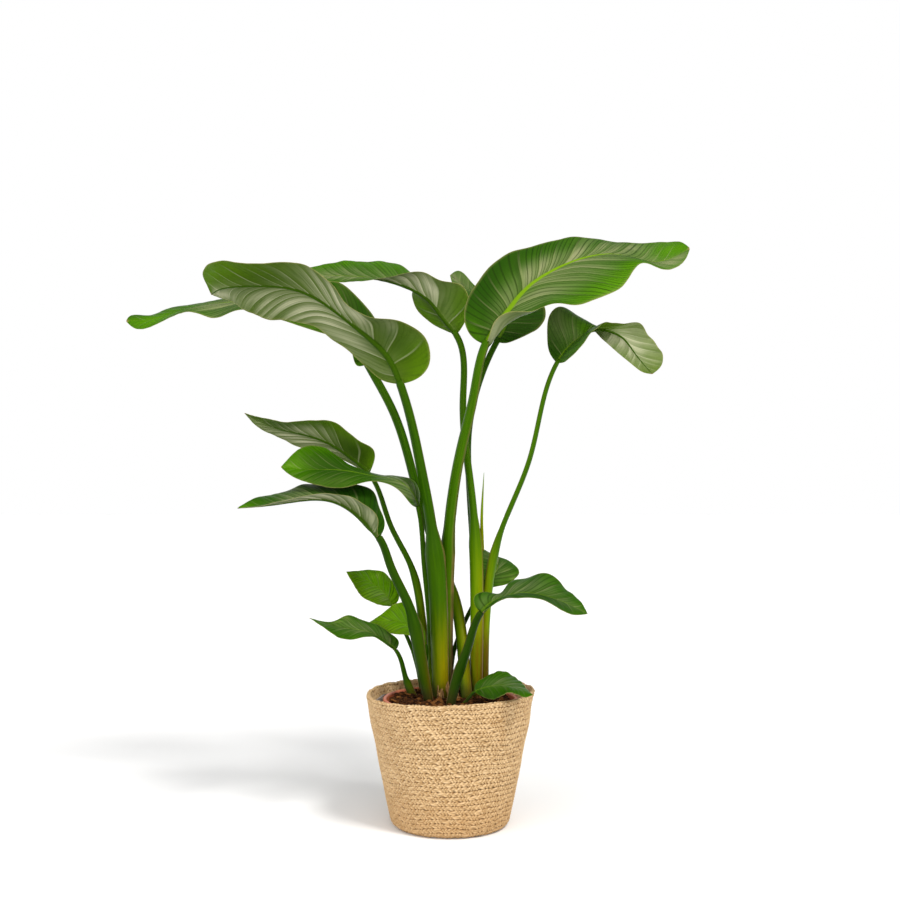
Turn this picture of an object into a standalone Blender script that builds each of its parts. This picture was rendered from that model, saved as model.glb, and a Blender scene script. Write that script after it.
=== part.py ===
"""A potted bird of paradise: fifteen leaves growing from a nursery pot in a braided basket.

Metres, +Z up, the basket's underside on z = 0 and its axis on x = y = 0.
"""
import math

import bmesh
import bpy
import numpy as np

# Driving sizes, in metres.
BASKET_HEIGHT = 0.190
BASKET_RIM_RADIUS = 0.120
# The basket's outside: height and radius, from the edge of its underside to the rim.
BASKET_PROFILE = ((0.0, 0.072), (0.0015, 0.078), (0.006, 0.0835), (0.016, 0.0868), (0.045, 0.0929),
                  (0.11, 0.105), (0.165, 0.115), (BASKET_HEIGHT, BASKET_RIM_RADIUS))
BASKET_WALL = 0.0065
BASKET_FLOOR = 0.0065
LINER_GAP = 0.0005
LINER_THICKNESS = 0.0012
LINER_TOP = 0.178
POT_RIM_RADIUS = 0.0965
POT_RIM_TOP = 0.180
POT_RIM_DEPTH = 0.014
POT_FOOT_RADIUS = 0.070
POT_FOOT = 0.0095
POT_WALL = 0.002
SOIL_EDGE = 0.167
SOIL_DOME = 0.009
SOIL_INSET = 0.006
BLADE_THICKNESS = 0.0014
BLADE_START = 0.02  # the blade runs over these shares of the midrib
BLADE_END = 0.985
STEM_DEPTH = 0.72  # depth of a leaf stalk over its width
GROOVE_SIDE = 0.55  # depth of its grooved side over half its width
STEM_END = 0.55  # its width at the blade, of the given width there
STEM_SETBACK = 3  # millimetres between the stalk's end and the blade
STUB_PLACE = (-0.0135, 0.002)  # on the soil, from the axis
SHEATH_PLACE = (0.006, 0.002)
SHEATH_THICKNESS = 0.0012
GAP = 0.0004
MERGE = 1e-6
LEAF_GREEN = (0.05, 0.17, 0.03)
STEM_GREEN = (0.10, 0.24, 0.03)
SPEAR_GREEN = (0.22, 0.33, 0.05)
STRAW = (0.62, 0.42, 0.20)
FILM_GREY = (0.45, 0.42, 0.38)
TERRACOTTA = (0.50, 0.13, 0.06)
SOIL_BROWN = (0.07, 0.035, 0.018)
DRIED_BROWN = (0.32, 0.20, 0.09)
LEAF_ROUGHNESS = 0.4

# Each leaf, in millimetres: the stalk from the soil up, the midrib from there to the tip, and
# the two margins between the same ends, left and right as seen on the upper face with the tip
# ahead. widths: stalk at the soil, at the top of its sheath, that point's share of the stalk,
# just above it, and at the blade.
LEAVES = {
    "tall_left": dict(
        widths=(24, 29, 0.46, 16, 12),
        stalk=[(-13, 20, 176), (-15, 20, 259), (-19, 18, 353), (-28, 14, 432), (-41, 9, 504),
            (-56, 4, 576), (-71, 0, 627)],
        rib=[(-91, -5, 668), (-115, -10, 692), (-149, -15, 720), (-211, -25, 757),
            (-274, -28, 764), (-322, -20, 761), (-343, 10, 756)],
        left=[(-50, -3, 633), (-28, -8, 658), (-33, -15, 689), (-73, -30, 714),
            (-136, -55, 729), (-165, -60, 763), (-196, -60, 786), (-277, -60, 792),
            (-332, -45, 795), (-351, -10, 782)],
        right=[(-96, 10, 632), (-127, 22, 659), (-166, 22, 689), (-205, 16, 715),
            (-259, 12, 721), (-314, 15, 745)],
    ),
    "far_left": dict(
        widths=(17, 17, 0.3, 14, 12),
        stalk=[(24, 10, 178), (18, 40, 249), (7, 69, 311), (-15, 69, 370), (-54, 50, 496),
            (-81, 47, 584), (-121, 55, 659)],
        rib=[(-147, 60, 702), (-185, 65, 737), (-237, 70, 752), (-325, 80, 753),
            (-393, 85, 743), (-441, 88, 729), (-485, 90, 726)],
        left=[(-135, 52, 656), (-147, 50, 687), (-176, 48, 701), (-219, 45, 714),
            (-275, 46, 733), (-313, 48, 738), (-346, 50, 727), (-386, 60, 737),
            (-430, 70, 721), (-472, 82, 716)],
        right=[(-108, 70, 678), (-113, 80, 732), (-139, 85, 761), (-167, 87, 784),
            (-195, 90, 783), (-247, 90, 777), (-332, 105, 763), (-393, 108, 752),
            (-426, 109, 746), (-454, 106, 737), (-480, 100, 735)],
    ),
    "middle_back": dict(
        widths=(18, 20, 0.42, 11.5, 9),
        stalk=[(38, 30, 185), (39, 35, 315), (35, 40, 431), (29, 45, 489), (19, 50, 606),
            (9, 55, 702)],
        rib=[(-10, 60, 726), (-27, 65, 749), (-56, 75, 771), (-91, 88, 785), (-141, 110, 795),
            (-188, 135, 800), (-244, 150, 804)],
        left=[(16, 48, 710), (25, 42, 729), (28, 36, 750), (16, 35, 772), (-12, 40, 780),
            (-38, 50, 793), (-72, 60, 792), (-135, 95, 786), (-190, 125, 790)],
        right=[(-12, 75, 713), (-45, 90, 736), (-57, 105, 768), (-53, 120, 793),
            (-73, 130, 814), (-121, 140, 823), (-166, 150, 823), (-212, 155, 816)],
    ),
    "rear": dict(
        widths=(12, 12, 0.3, 10, 9),
        stalk=[(32, 62, 179), (37, 58, 312), (35, 58, 371), (28, 62, 489), (27, 68, 548),
            (36, 75, 607), (70, 95, 695)],
        rib=[(87, 120, 733), (80, 150, 756), (60, 190, 772), (29, 230, 791), (0, 260, 817)],
        left=[(59, 100, 701), (46, 120, 723), (39, 150, 746), (28, 190, 767), (5, 235, 798)],
        right=[(82, 90, 693), (105, 100, 701), (131, 120, 715), (148, 150, 749),
            (128, 175, 773), (98, 195, 782), (64, 220, 785), (39, 235, 798), (11, 255, 823)],
    ),
    "tall_right": dict(
        widths=(21, 23, 0.4, 17, 12),
        sag=(-0.5, 0.1, 0.1),
        stalk=[(-6, 45, 182), (-6, 45, 314), (0, 30, 431), (19, 10, 547), (34, -5, 611),
            (50, -15, 682)],
        rib=[(65, -15, 709), (82, -10, 732), (108, -4, 763), (147, 2, 790), (195, 5, 809),
            (243, 3, 812), (292, -5, 801), (341, -10, 820)],
        left=[(33, -10, 692), (21, -5, 715), (24, 5, 745), (42, 18, 778), (81, 28, 814),
            (129, 33, 832), (195, 36, 842), (271, 30, 833), (330, 10, 832)],
        right=[(55, -30, 692), (64, -45, 714), (86, -55, 726), (115, -50, 726),
            (151, -45, 739), (182, -40, 737), (214, -40, 747), (241, -40, 764),
            (271, -35, 794), (302, -30, 787), (331, -20, 799)],
    ),
    "outer_right": dict(
        widths=(14, 14, 0.42, 8, 7),
        stalk=[(50, 52, 181), (54, 48, 313), (70, 40, 402), (115, 32, 518), (132, 30, 591),
            (155, 30, 659)],
        rib=[(168, 30, 678), (184, 30, 693), (205, 24, 705), (227, 15, 704), (247, 8, 694),
            (263, 2, 673), (288, -5, 641)],
        left=[(146, 40, 673), (143, 55, 702), (148, 65, 734), (163, 70, 745), (184, 70, 736),
            (205, 58, 716), (217, 34, 699), (236, 12, 677), (259, 0, 656), (275, -5, 644)],
        right=[(166, 15, 660), (176, 0, 669), (190, -10, 684), (205, -8, 705), (226, 5, 715),
            (251, 18, 716), (273, 28, 716), (288, 28, 700), (304, 18, 676), (302, 4, 653)],
    ),
    "upper_side": dict(
        widths=(13, 12, 0.5, 9, 7),
        stalk=[(-25, 60, 179), (-41, 60, 281), (-57, 55, 362), (-88, 50, 425), (-118, 45, 498)],
        rib=[(-140, 38, 518), (-171, 30, 540), (-214, 20, 556), (-244, 12, 563), (-294, 0, 586)],
        left=[(-114, 40, 507), (-110, 30, 532), (-130, 20, 546), (-151, 12, 563),
            (-175, 5, 575), (-214, -5, 574), (-261, -10, 577)],
        right=[(-137, 45, 508), (-159, 45, 520), (-190, 40, 527), (-218, 35, 536),
            (-249, 25, 552), (-276, 10, 566)],
    ),
    "middle_side": dict(
        widths=(11, 11, 0.3, 9, 7),
        stalk=[(-26, 38, 183), (-32, 38, 314), (-38, 38, 373), (-46, 30, 449)],
        rib=[(-55, 20, 472), (-72, 10, 487), (-100, 0, 494), (-128, -8, 500), (-163, -18, 505),
            (-195, -22, 505), (-238, -30, 509)],
        left=[(-55, 13, 454), (-69, 0, 472), (-88, -12, 485), (-113, -22, 488),
            (-138, -30, 482), (-168, -35, 480), (-199, -40, 487), (-224, -38, 498)],
        right=[(-44, 35, 463), (-50, 37, 485), (-73, 35, 495), (-108, 20, 498),
            (-132, 15, 506), (-155, 12, 519), (-178, 10, 536), (-198, 4, 540), (-224, -15, 526)],
    ),
    "lower_side": dict(
        widths=(14, 20, 0.45, 15, 11),
        stalk=[(-30, -5, 185), (-43, -5, 244), (-57, -10, 308), (-85, -15, 371),
            (-100, -20, 409)],
        rib=[(-113, -25, 424), (-127, -30, 439), (-143, -35, 452), (-168, -42, 463),
            (-209, -50, 463), (-248, -60, 457), (-293, -70, 453)],
        left=[(-102, -35, 419), (-100, -45, 435), (-110, -55, 451), (-127, -65, 463),
            (-151, -70, 471), (-181, -75, 473), (-219, -80, 466), (-260, -80, 456)],
        right=[(-94, -5, 422), (-99, 5, 447), (-112, 10, 473), (-135, 10, 484), (-172, 5, 484),
            (-204, -5, 485), (-235, -20, 474), (-269, -45, 467)],
    ),
    "small_upper_left": dict(
        widths=(8, 8, 0.4, 6, 5),
        stalk=[(-40, 60, 172), (-50, 63, 223), (-64, 66, 258), (-84, 66, 302)],
        rib=[(-94, 62, 319), (-107, 56, 332), (-123, 48, 343), (-151, 35, 356)],
        left=[(-93, 58, 303), (-111, 45, 309), (-127, 36, 319), (-141, 30, 339)],
        right=[(-76, 70, 311), (-83, 75, 334), (-99, 70, 352), (-118, 65, 356), (-136, 50, 356)],
    ),
    "small_left": dict(
        widths=(8, 7, 0.3, 6, 5),
        stalk=[(-38, 32, 176), (-38, 28, 214), (-35, 27, 250)],
        rib=[(-51, 30, 270), (-68, 34, 281), (-89, 37, 284), (-109, 34, 281), (-132, 30, 273)],
        left=[(-43, 26, 256), (-61, 26, 265), (-80, 28, 266), (-96, 31, 270), (-116, 30, 273)],
        right=[(-35, 28, 263), (-47, 38, 291), (-61, 46, 309), (-78, 48, 309), (-95, 46, 297),
            (-117, 40, 282)],
    ),
    "low_left": dict(
        widths=(12.5, 11.5, 0.35, 8, 6),
        stalk=[(-52, 30, 170), (-65, 30, 205), (-78, 20, 244)],
        rib=[(-89, 17, 255), (-101, 12, 264), (-120, 0, 274), (-149, -10, 280),
            (-174, -20, 287), (-198, -30, 297)],
        left=[(-86, 10, 249), (-103, -5, 264), (-119, -15, 268), (-141, -25, 265),
            (-160, -35, 272), (-179, -35, 285)],
        right=[(-74, 25, 254), (-87, 22, 269), (-104, 17, 281), (-126, 10, 289),
            (-147, 0, 297), (-165, -12, 290), (-184, -22, 292)],
    ),
    "low_right": dict(
        widths=(13, 16, 0.4, 14, 10),
        stalk=[(0, -38, 175), (14, -35, 227), (25, -35, 257), (43, -36, 305)],
        rib=[(57, -40, 319), (77, -45, 329), (103, -50, 334), (125, -55, 332), (149, -62, 326),
            (189, -75, 308)],
        left=[(37, -32, 312), (34, -25, 327), (49, -20, 332), (71, -20, 331), (86, -15, 346),
            (112, -15, 352), (130, -20, 359), (147, -25, 354), (163, -35, 337), (179, -55, 325)],
        right=[(54, -50, 313), (69, -60, 325), (96, -75, 330), (128, -85, 328),
            (146, -90, 318), (168, -85, 308)],
    ),
    "small_rear": dict(
        widths=(9, 9, 0.3, 7, 6),
        stalk=[(4, 75, 177), (1, 78, 209), (10, 80, 247), (22, 80, 277), (46, 82, 321)],
        rib=[(64, 90, 344), (72, 100, 357), (67, 115, 369), (52, 130, 380), (29, 150, 393)],
        left=[(39, 85, 327), (35, 100, 345), (33, 115, 363), (32, 130, 380)],
        right=[(66, 80, 329), (88, 85, 334), (104, 100, 351), (84, 120, 367), (55, 140, 378)],
    ),
    "rim": dict(
        widths=(6, 6, 0.3, 5, 4),
        stalk=[(18, -34, 177), (25, -38, 184), (34, -42, 195)],
        rib=[(50, -55, 204), (66, -68, 209), (85, -85, 210), (112, -108, 203)],
        left=[(35, -38, 203), (49, -35, 215), (73, -40, 223), (94, -60, 216), (106, -88, 206)],
        right=[(43, -55, 192), (56, -75, 191), (72, -95, 200), (84, -105, 205), (99, -112, 201)],
    ),
}
SPEAR = [(48, 42, 386), (47, 41, 424), (47.5, 40, 450), (49.5, 39, 500)]


def spline(points, at):
    """Natural cubic through the points, taken at shares 0-1 of its chord length."""
    p = np.asarray(points, float)
    k = np.r_[0, np.cumsum(np.linalg.norm(np.diff(p, axis=0), axis=1))]
    h, n = np.diff(k), len(k)
    a, r = np.eye(n), np.zeros_like(p)
    for i in range(1, n - 1):
        a[i, i - 1:i + 2] = h[i - 1], 2 * (h[i - 1] + h[i]), h[i]
        r[i] = 6 * ((p[i + 1] - p[i]) / h[i] - (p[i] - p[i - 1]) / h[i - 1])
    m = np.linalg.solve(a, r)
    t = np.clip(np.asarray(at, float), 0, 1) * k[-1]
    i = np.clip(np.searchsorted(k, t, side="right") - 1, 0, n - 2)
    f = ((k[i + 1] - t) / h[i])[:, None]
    g, s = 1 - f, (h[i] ** 2)[:, None] / 6
    return f * p[i] + g * p[i + 1] + ((f ** 3 - f) * m[i] + (g ** 3 - g) * m[i + 1]) * s


def unit(v):
    return v / np.maximum(np.linalg.norm(v, axis=-1, keepdims=True), 1e-9)


def chord(points):
    return float(np.linalg.norm(np.diff(np.asarray(points, float), axis=0), axis=1).sum())


def soil_height(x, y):
    radius = POT_RIM_RADIUS - SOIL_INSET
    return SOIL_EDGE + SOIL_DOME * (1 - min(1.0, (x * x + y * y) / radius ** 2))


def leaf_path(leaf, shares, part):
    """Points and tangents along the stalk ("stalk") or the midrib ("rib") of one leaf."""
    stalk = np.array(leaf["stalk"]) / 1000
    stalk[0, 2] = soil_height(stalk[0, 0], stalk[0, 1]) + GAP
    line = np.vstack([stalk, np.array(leaf["rib"]) / 1000])
    split = chord(stalk) / chord(line)
    lo, hi = (0, split) if part == "stalk" else (split, 1)
    at = lo + (hi - lo) * np.asarray(shares, float)
    step = 0.002
    return spline(line, at), unit(spline(line, at + step) - spline(line, at - step))


def blade_grid(leaf, rows, cells):
    """Mid-surface points: rows along the blade, cells from the midrib to each margin."""
    u = np.linspace(BLADE_START, BLADE_END, rows)
    p, t = leaf_path(leaf, u, "rib")
    base = leaf_path(leaf, [1.0], "stalk")[0][0]
    tip = np.array(leaf["rib"][-1]) / 1000
    halves = []
    for side, sag in (("left", (0.1, 0.1, 0.1)), ("right", leaf.get("sag", (0.1, 0.1, 0.1)))):
        edge = spline(np.vstack([base, np.array(leaf[side]) / 1000, tip]),
                      u + 0.05 * np.sin(math.pi * u))
        across = edge - p
        reach = np.linalg.norm(across, axis=1, keepdims=True)
        up = unit(np.cross(across, t)) * (1 if side == "right" else -1)
        bow = np.interp(u, (0, 0.5, 1), sag)[:, None]
        mid = (p + edge) / 2 + up * bow * reach
        v = [(i + 1) / cells for i in range(cells)]
        halves.append([p * (1 - s) ** 2 + 2 * mid * s * (1 - s) + edge * s * s for s in v])
    return np.stack(halves[0][::-1] + [p] + halves[1], 1)


def add(name, bm, colour, roughness):
    """One closed, outward-facing object with its own material."""
    bmesh.ops.recalc_face_normals(bm, faces=bm.faces)
    mesh = bpy.data.meshes.new(name)
    bm.to_mesh(mesh)
    bm.free()
    obj = bpy.data.objects.new(name, mesh)
    bpy.context.scene.collection.objects.link(obj)
    material = bpy.data.materials.new(name)
    material.use_nodes = True
    shader = next(n for n in material.node_tree.nodes if n.type == "BSDF_PRINCIPLED")
    shader.inputs["Base Color"].default_value = (*colour, 1)
    shader.inputs["Roughness"].default_value = roughness
    material.diffuse_color = (*colour, 1)
    mesh.materials.append(material)
    for polygon in mesh.polygons:
        polygon.use_smooth = True


def drawn_on(verts, made, points):
    """Moves the copies of the verts that an extrusion has just made to the points."""
    new = {v for v in made if isinstance(v, bmesh.types.BMVert)}
    following = []
    for vert, point in zip(verts, points):
        copy = next(e.other_vert(vert) for e in vert.link_edges if e.other_vert(vert) in new)
        copy.co = point
        following.append(copy)
    return following


def tube(rings):
    """A solid with the rings as its sections: the first one, filled and extruded to each next."""
    bm = bmesh.new()
    verts = [bm.verts.new(p) for p in rings[0]]
    face = bm.faces.new(verts)
    for number, ring in enumerate(rings[1:]):
        made = bmesh.ops.extrude_face_region(bm, geom=[face])["geom"]
        verts = drawn_on(verts, made, ring)
        if number:
            bmesh.ops.delete(bm, geom=[face], context="FACES_ONLY")
        face = next(f for f in made if isinstance(f, bmesh.types.BMFace))
    return bm


def blade(name, leaf, rows, cells):
    """A leaf blade: its cross line drawn along the leaf and given a thickness."""
    grid = blade_grid(leaf, rows, cells)
    normal = unit(np.cross(np.gradient(grid, axis=1), np.gradient(grid, axis=0)))
    grid = grid - normal * BLADE_THICKNESS / 2
    bm = bmesh.new()
    verts = [bm.verts.new(p) for p in grid[0]]
    edges = [bm.edges.new(pair) for pair in zip(verts, verts[1:])]
    for row in grid[1:]:
        made = bmesh.ops.extrude_edge_only(bm, edges=edges)["geom"]
        verts = drawn_on(verts, made, row)
        edges = [bm.edges.get(pair) for pair in zip(verts, verts[1:])]
    bmesh.ops.solidify(bm, geom=bm.faces[:], thickness=BLADE_THICKNESS)
    add(name + "_leaf", bm, LEAF_GREEN, LEAF_ROUGHNESS)


def stem(name, leaf, rings, sides):
    """The leaf stalk: rounded outside, nearly flat on its grooved side."""
    f = np.linspace(0, 1, rings)
    p, t = leaf_path(leaf, f, "stalk")
    p[-1] = leaf_path(leaf, [max(0, BLADE_START - STEM_SETBACK / chord(leaf["rib"]))], "rib")[0][0]
    a, b, share, c, d = leaf["widths"]
    width = np.interp(f, (0, share, share + 0.08, 1), (a, b, c, d)) / 1000
    width[-1] *= STEM_END
    groove = np.array([0.0, -1.0, 0.0])
    loops = []
    for i in range(rings):
        g = unit(groove - np.dot(groove, t[i]) * t[i])
        r = np.cross(t[i], g)
        ring = []
        for j in range(sides):
            w = 2 * math.pi * j / sides
            depth = math.sin(w) * (GROOVE_SIDE if math.sin(w) > 0 else 2 * STEM_DEPTH - GROOVE_SIDE)
            ring.append(p[i] + width[i] / 2 * (r * math.cos(w) + g * depth))
        if i == 0:
            ring = [(q[0], q[1], soil_height(q[0], q[1]) + GAP) for q in ring]
        loops.append(ring)
    add(name + "_stem", tube(loops), STEM_GREEN, LEAF_ROUGHNESS)


def lathe(name, profile, segments, colour, roughness):
    """A turned body; the profile is (radius, z) up the outside and down the inside."""
    bm = bmesh.new()
    verts = [bm.verts.new((r, 0, z)) for r, z in profile]
    edges = [bm.edges.new(pair) for pair in zip(verts, verts[1:])]
    bmesh.ops.spin(bm, geom=verts + edges, axis=(0, 0, 1), cent=(0, 0, 0), steps=segments,
                   angle=2 * math.pi, use_merge=True)
    bmesh.ops.remove_doubles(bm, verts=bm.verts, dist=MERGE)
    add(name, bm, colour, roughness)


def basket_radius(z):
    """Outside radius of the basket at a height."""
    return float(np.interp(z, *zip(*BASKET_PROFILE)))


def containers():
    levels = [z for z, r in BASKET_PROFILE[:-1]]
    outer = [(0, 0)] + [(basket_radius(z), z) for z in levels]
    rim = [(BASKET_RIM_RADIUS, BASKET_HEIGHT - 0.002),
           (BASKET_RIM_RADIUS - BASKET_WALL / 2, BASKET_HEIGHT),
           (BASKET_RIM_RADIUS - BASKET_WALL, BASKET_HEIGHT - 0.002)]
    inner = [(basket_radius(z) - BASKET_WALL, z) for z in levels[:2:-1]]
    inner += [(basket_radius(levels[2]) - BASKET_WALL - 0.003, BASKET_FLOOR), (0, BASKET_FLOOR)]
    lathe("basket", outer + rim + inner, 40, STRAW, 0.85)

    def liner_radius(z):
        return basket_radius(z) - BASKET_WALL - LINER_GAP

    base = BASKET_FLOOR + LINER_GAP
    foot = liner_radius(0.012) - 0.006
    outer = [(0, base), (foot, base)] + [(liner_radius(z), z) for z in (0.018, 0.045, 0.11)]
    outer += [(liner_radius(0.165), 0.165), (liner_radius(LINER_TOP) - 0.001, LINER_TOP)]
    inner = [(r - LINER_THICKNESS, z) for r, z in outer[:1:-1]]
    inner += [(foot - LINER_THICKNESS, base + LINER_THICKNESS), (0, base + LINER_THICKNESS)]
    lathe("basket_liner", outer + inner, 32, FILM_GREY, 0.6)

    collar = POT_RIM_TOP - POT_RIM_DEPTH
    throat = POT_RIM_RADIUS - 0.0065
    outer = [(0, POT_FOOT), (POT_FOOT_RADIUS, POT_FOOT), (throat + POT_WALL, collar - 0.002),
             (POT_RIM_RADIUS - 0.001, collar), (POT_RIM_RADIUS, POT_RIM_TOP - 0.002),
             (POT_RIM_RADIUS - 0.0015, POT_RIM_TOP)]
    inner = [(POT_RIM_RADIUS - 0.0055, POT_RIM_TOP), (throat, POT_RIM_TOP - 0.004),
             (throat - 0.0002, collar - 0.004), (POT_FOOT_RADIUS - POT_WALL, POT_FOOT + POT_WALL),
             (0, POT_FOOT + POT_WALL)]
    lathe("nursery_pot", outer + inner, 32, TERRACOTTA, 0.45)

    low = POT_FOOT + POT_WALL + GAP
    wall = [(0, low), (POT_FOOT_RADIUS - POT_WALL - 0.0012, low), (throat - 0.001, SOIL_EDGE)]
    top = [(r, soil_height(r, 0)) for r in (0.07, 0.045, 0.02)] + [(0, soil_height(0, 0))]
    lathe("soil", wall + top, 28, SOIL_BROWN, 0.95)


def small_bits():
    p = np.array(SPEAR) / 1000
    line = spline(p, np.linspace(0, 1, 6))
    loops = []
    for i, q in enumerate(line):
        r = 0.0022 * (1 - 0.85 * i / 5)
        loops.append([q + r * np.array((math.cos(a), math.sin(a), 0))
                      for a in np.linspace(0, 2 * math.pi, 7)[:-1]])
    add("new_leaf_spear", tube(loops), SPEAR_GREEN, LEAF_ROUGHNESS)

    loops = []
    for z, r in ((0, 0.0052), (0.008, 0.005), (0.013, 0.0042)):
        ring = []
        for a in np.linspace(0, 2 * math.pi, 9)[:-1]:
            x, y = STUB_PLACE[0] + r * math.cos(a), STUB_PLACE[1] + r * math.sin(a)
            ring.append((x, y, soil_height(x, y) + GAP + z))
        loops.append(ring)
    add("cut_stub", tube(loops), DRIED_BROWN, 0.8)

    loops = []
    for z, bend, half in ((0, 0, 0.007), (0.010, 0.001, 0.0065), (0.019, 0.003, 0.004),
                          (0.027, 0.006, 0.001)):
        arc = np.linspace(-1, 1, 5)
        front = [(SHEATH_PLACE[0] + half * s, SHEATH_PLACE[1] - bend + 0.003 * s * s) for s in arc]
        back = [(x, y + SHEATH_THICKNESS) for x, y in front[::-1]]
        loops.append([(x, y, soil_height(x, y) + GAP + z) for x, y in front + back])
    add("dried_sheath", tube(loops), DRIED_BROWN, 0.85)


def build():
    for obj in list(bpy.data.objects):
        bpy.data.objects.remove(obj, do_unlink=True)
    containers()
    for name, leaf in LEAVES.items():
        large = chord(leaf["rib"]) > 150
        blade(name, leaf, 14 if large else 10, 3 if large else 2)
        stem(name, leaf, 9 if large else 7, 8)
    small_bits()


build()
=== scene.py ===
"""Looks of the potted bird of paradise: veined leaves, channelled stalks, braided basket.

Metres, +Z up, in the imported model's frame. Every piece stands where its CAD node does.
"""
import math

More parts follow.
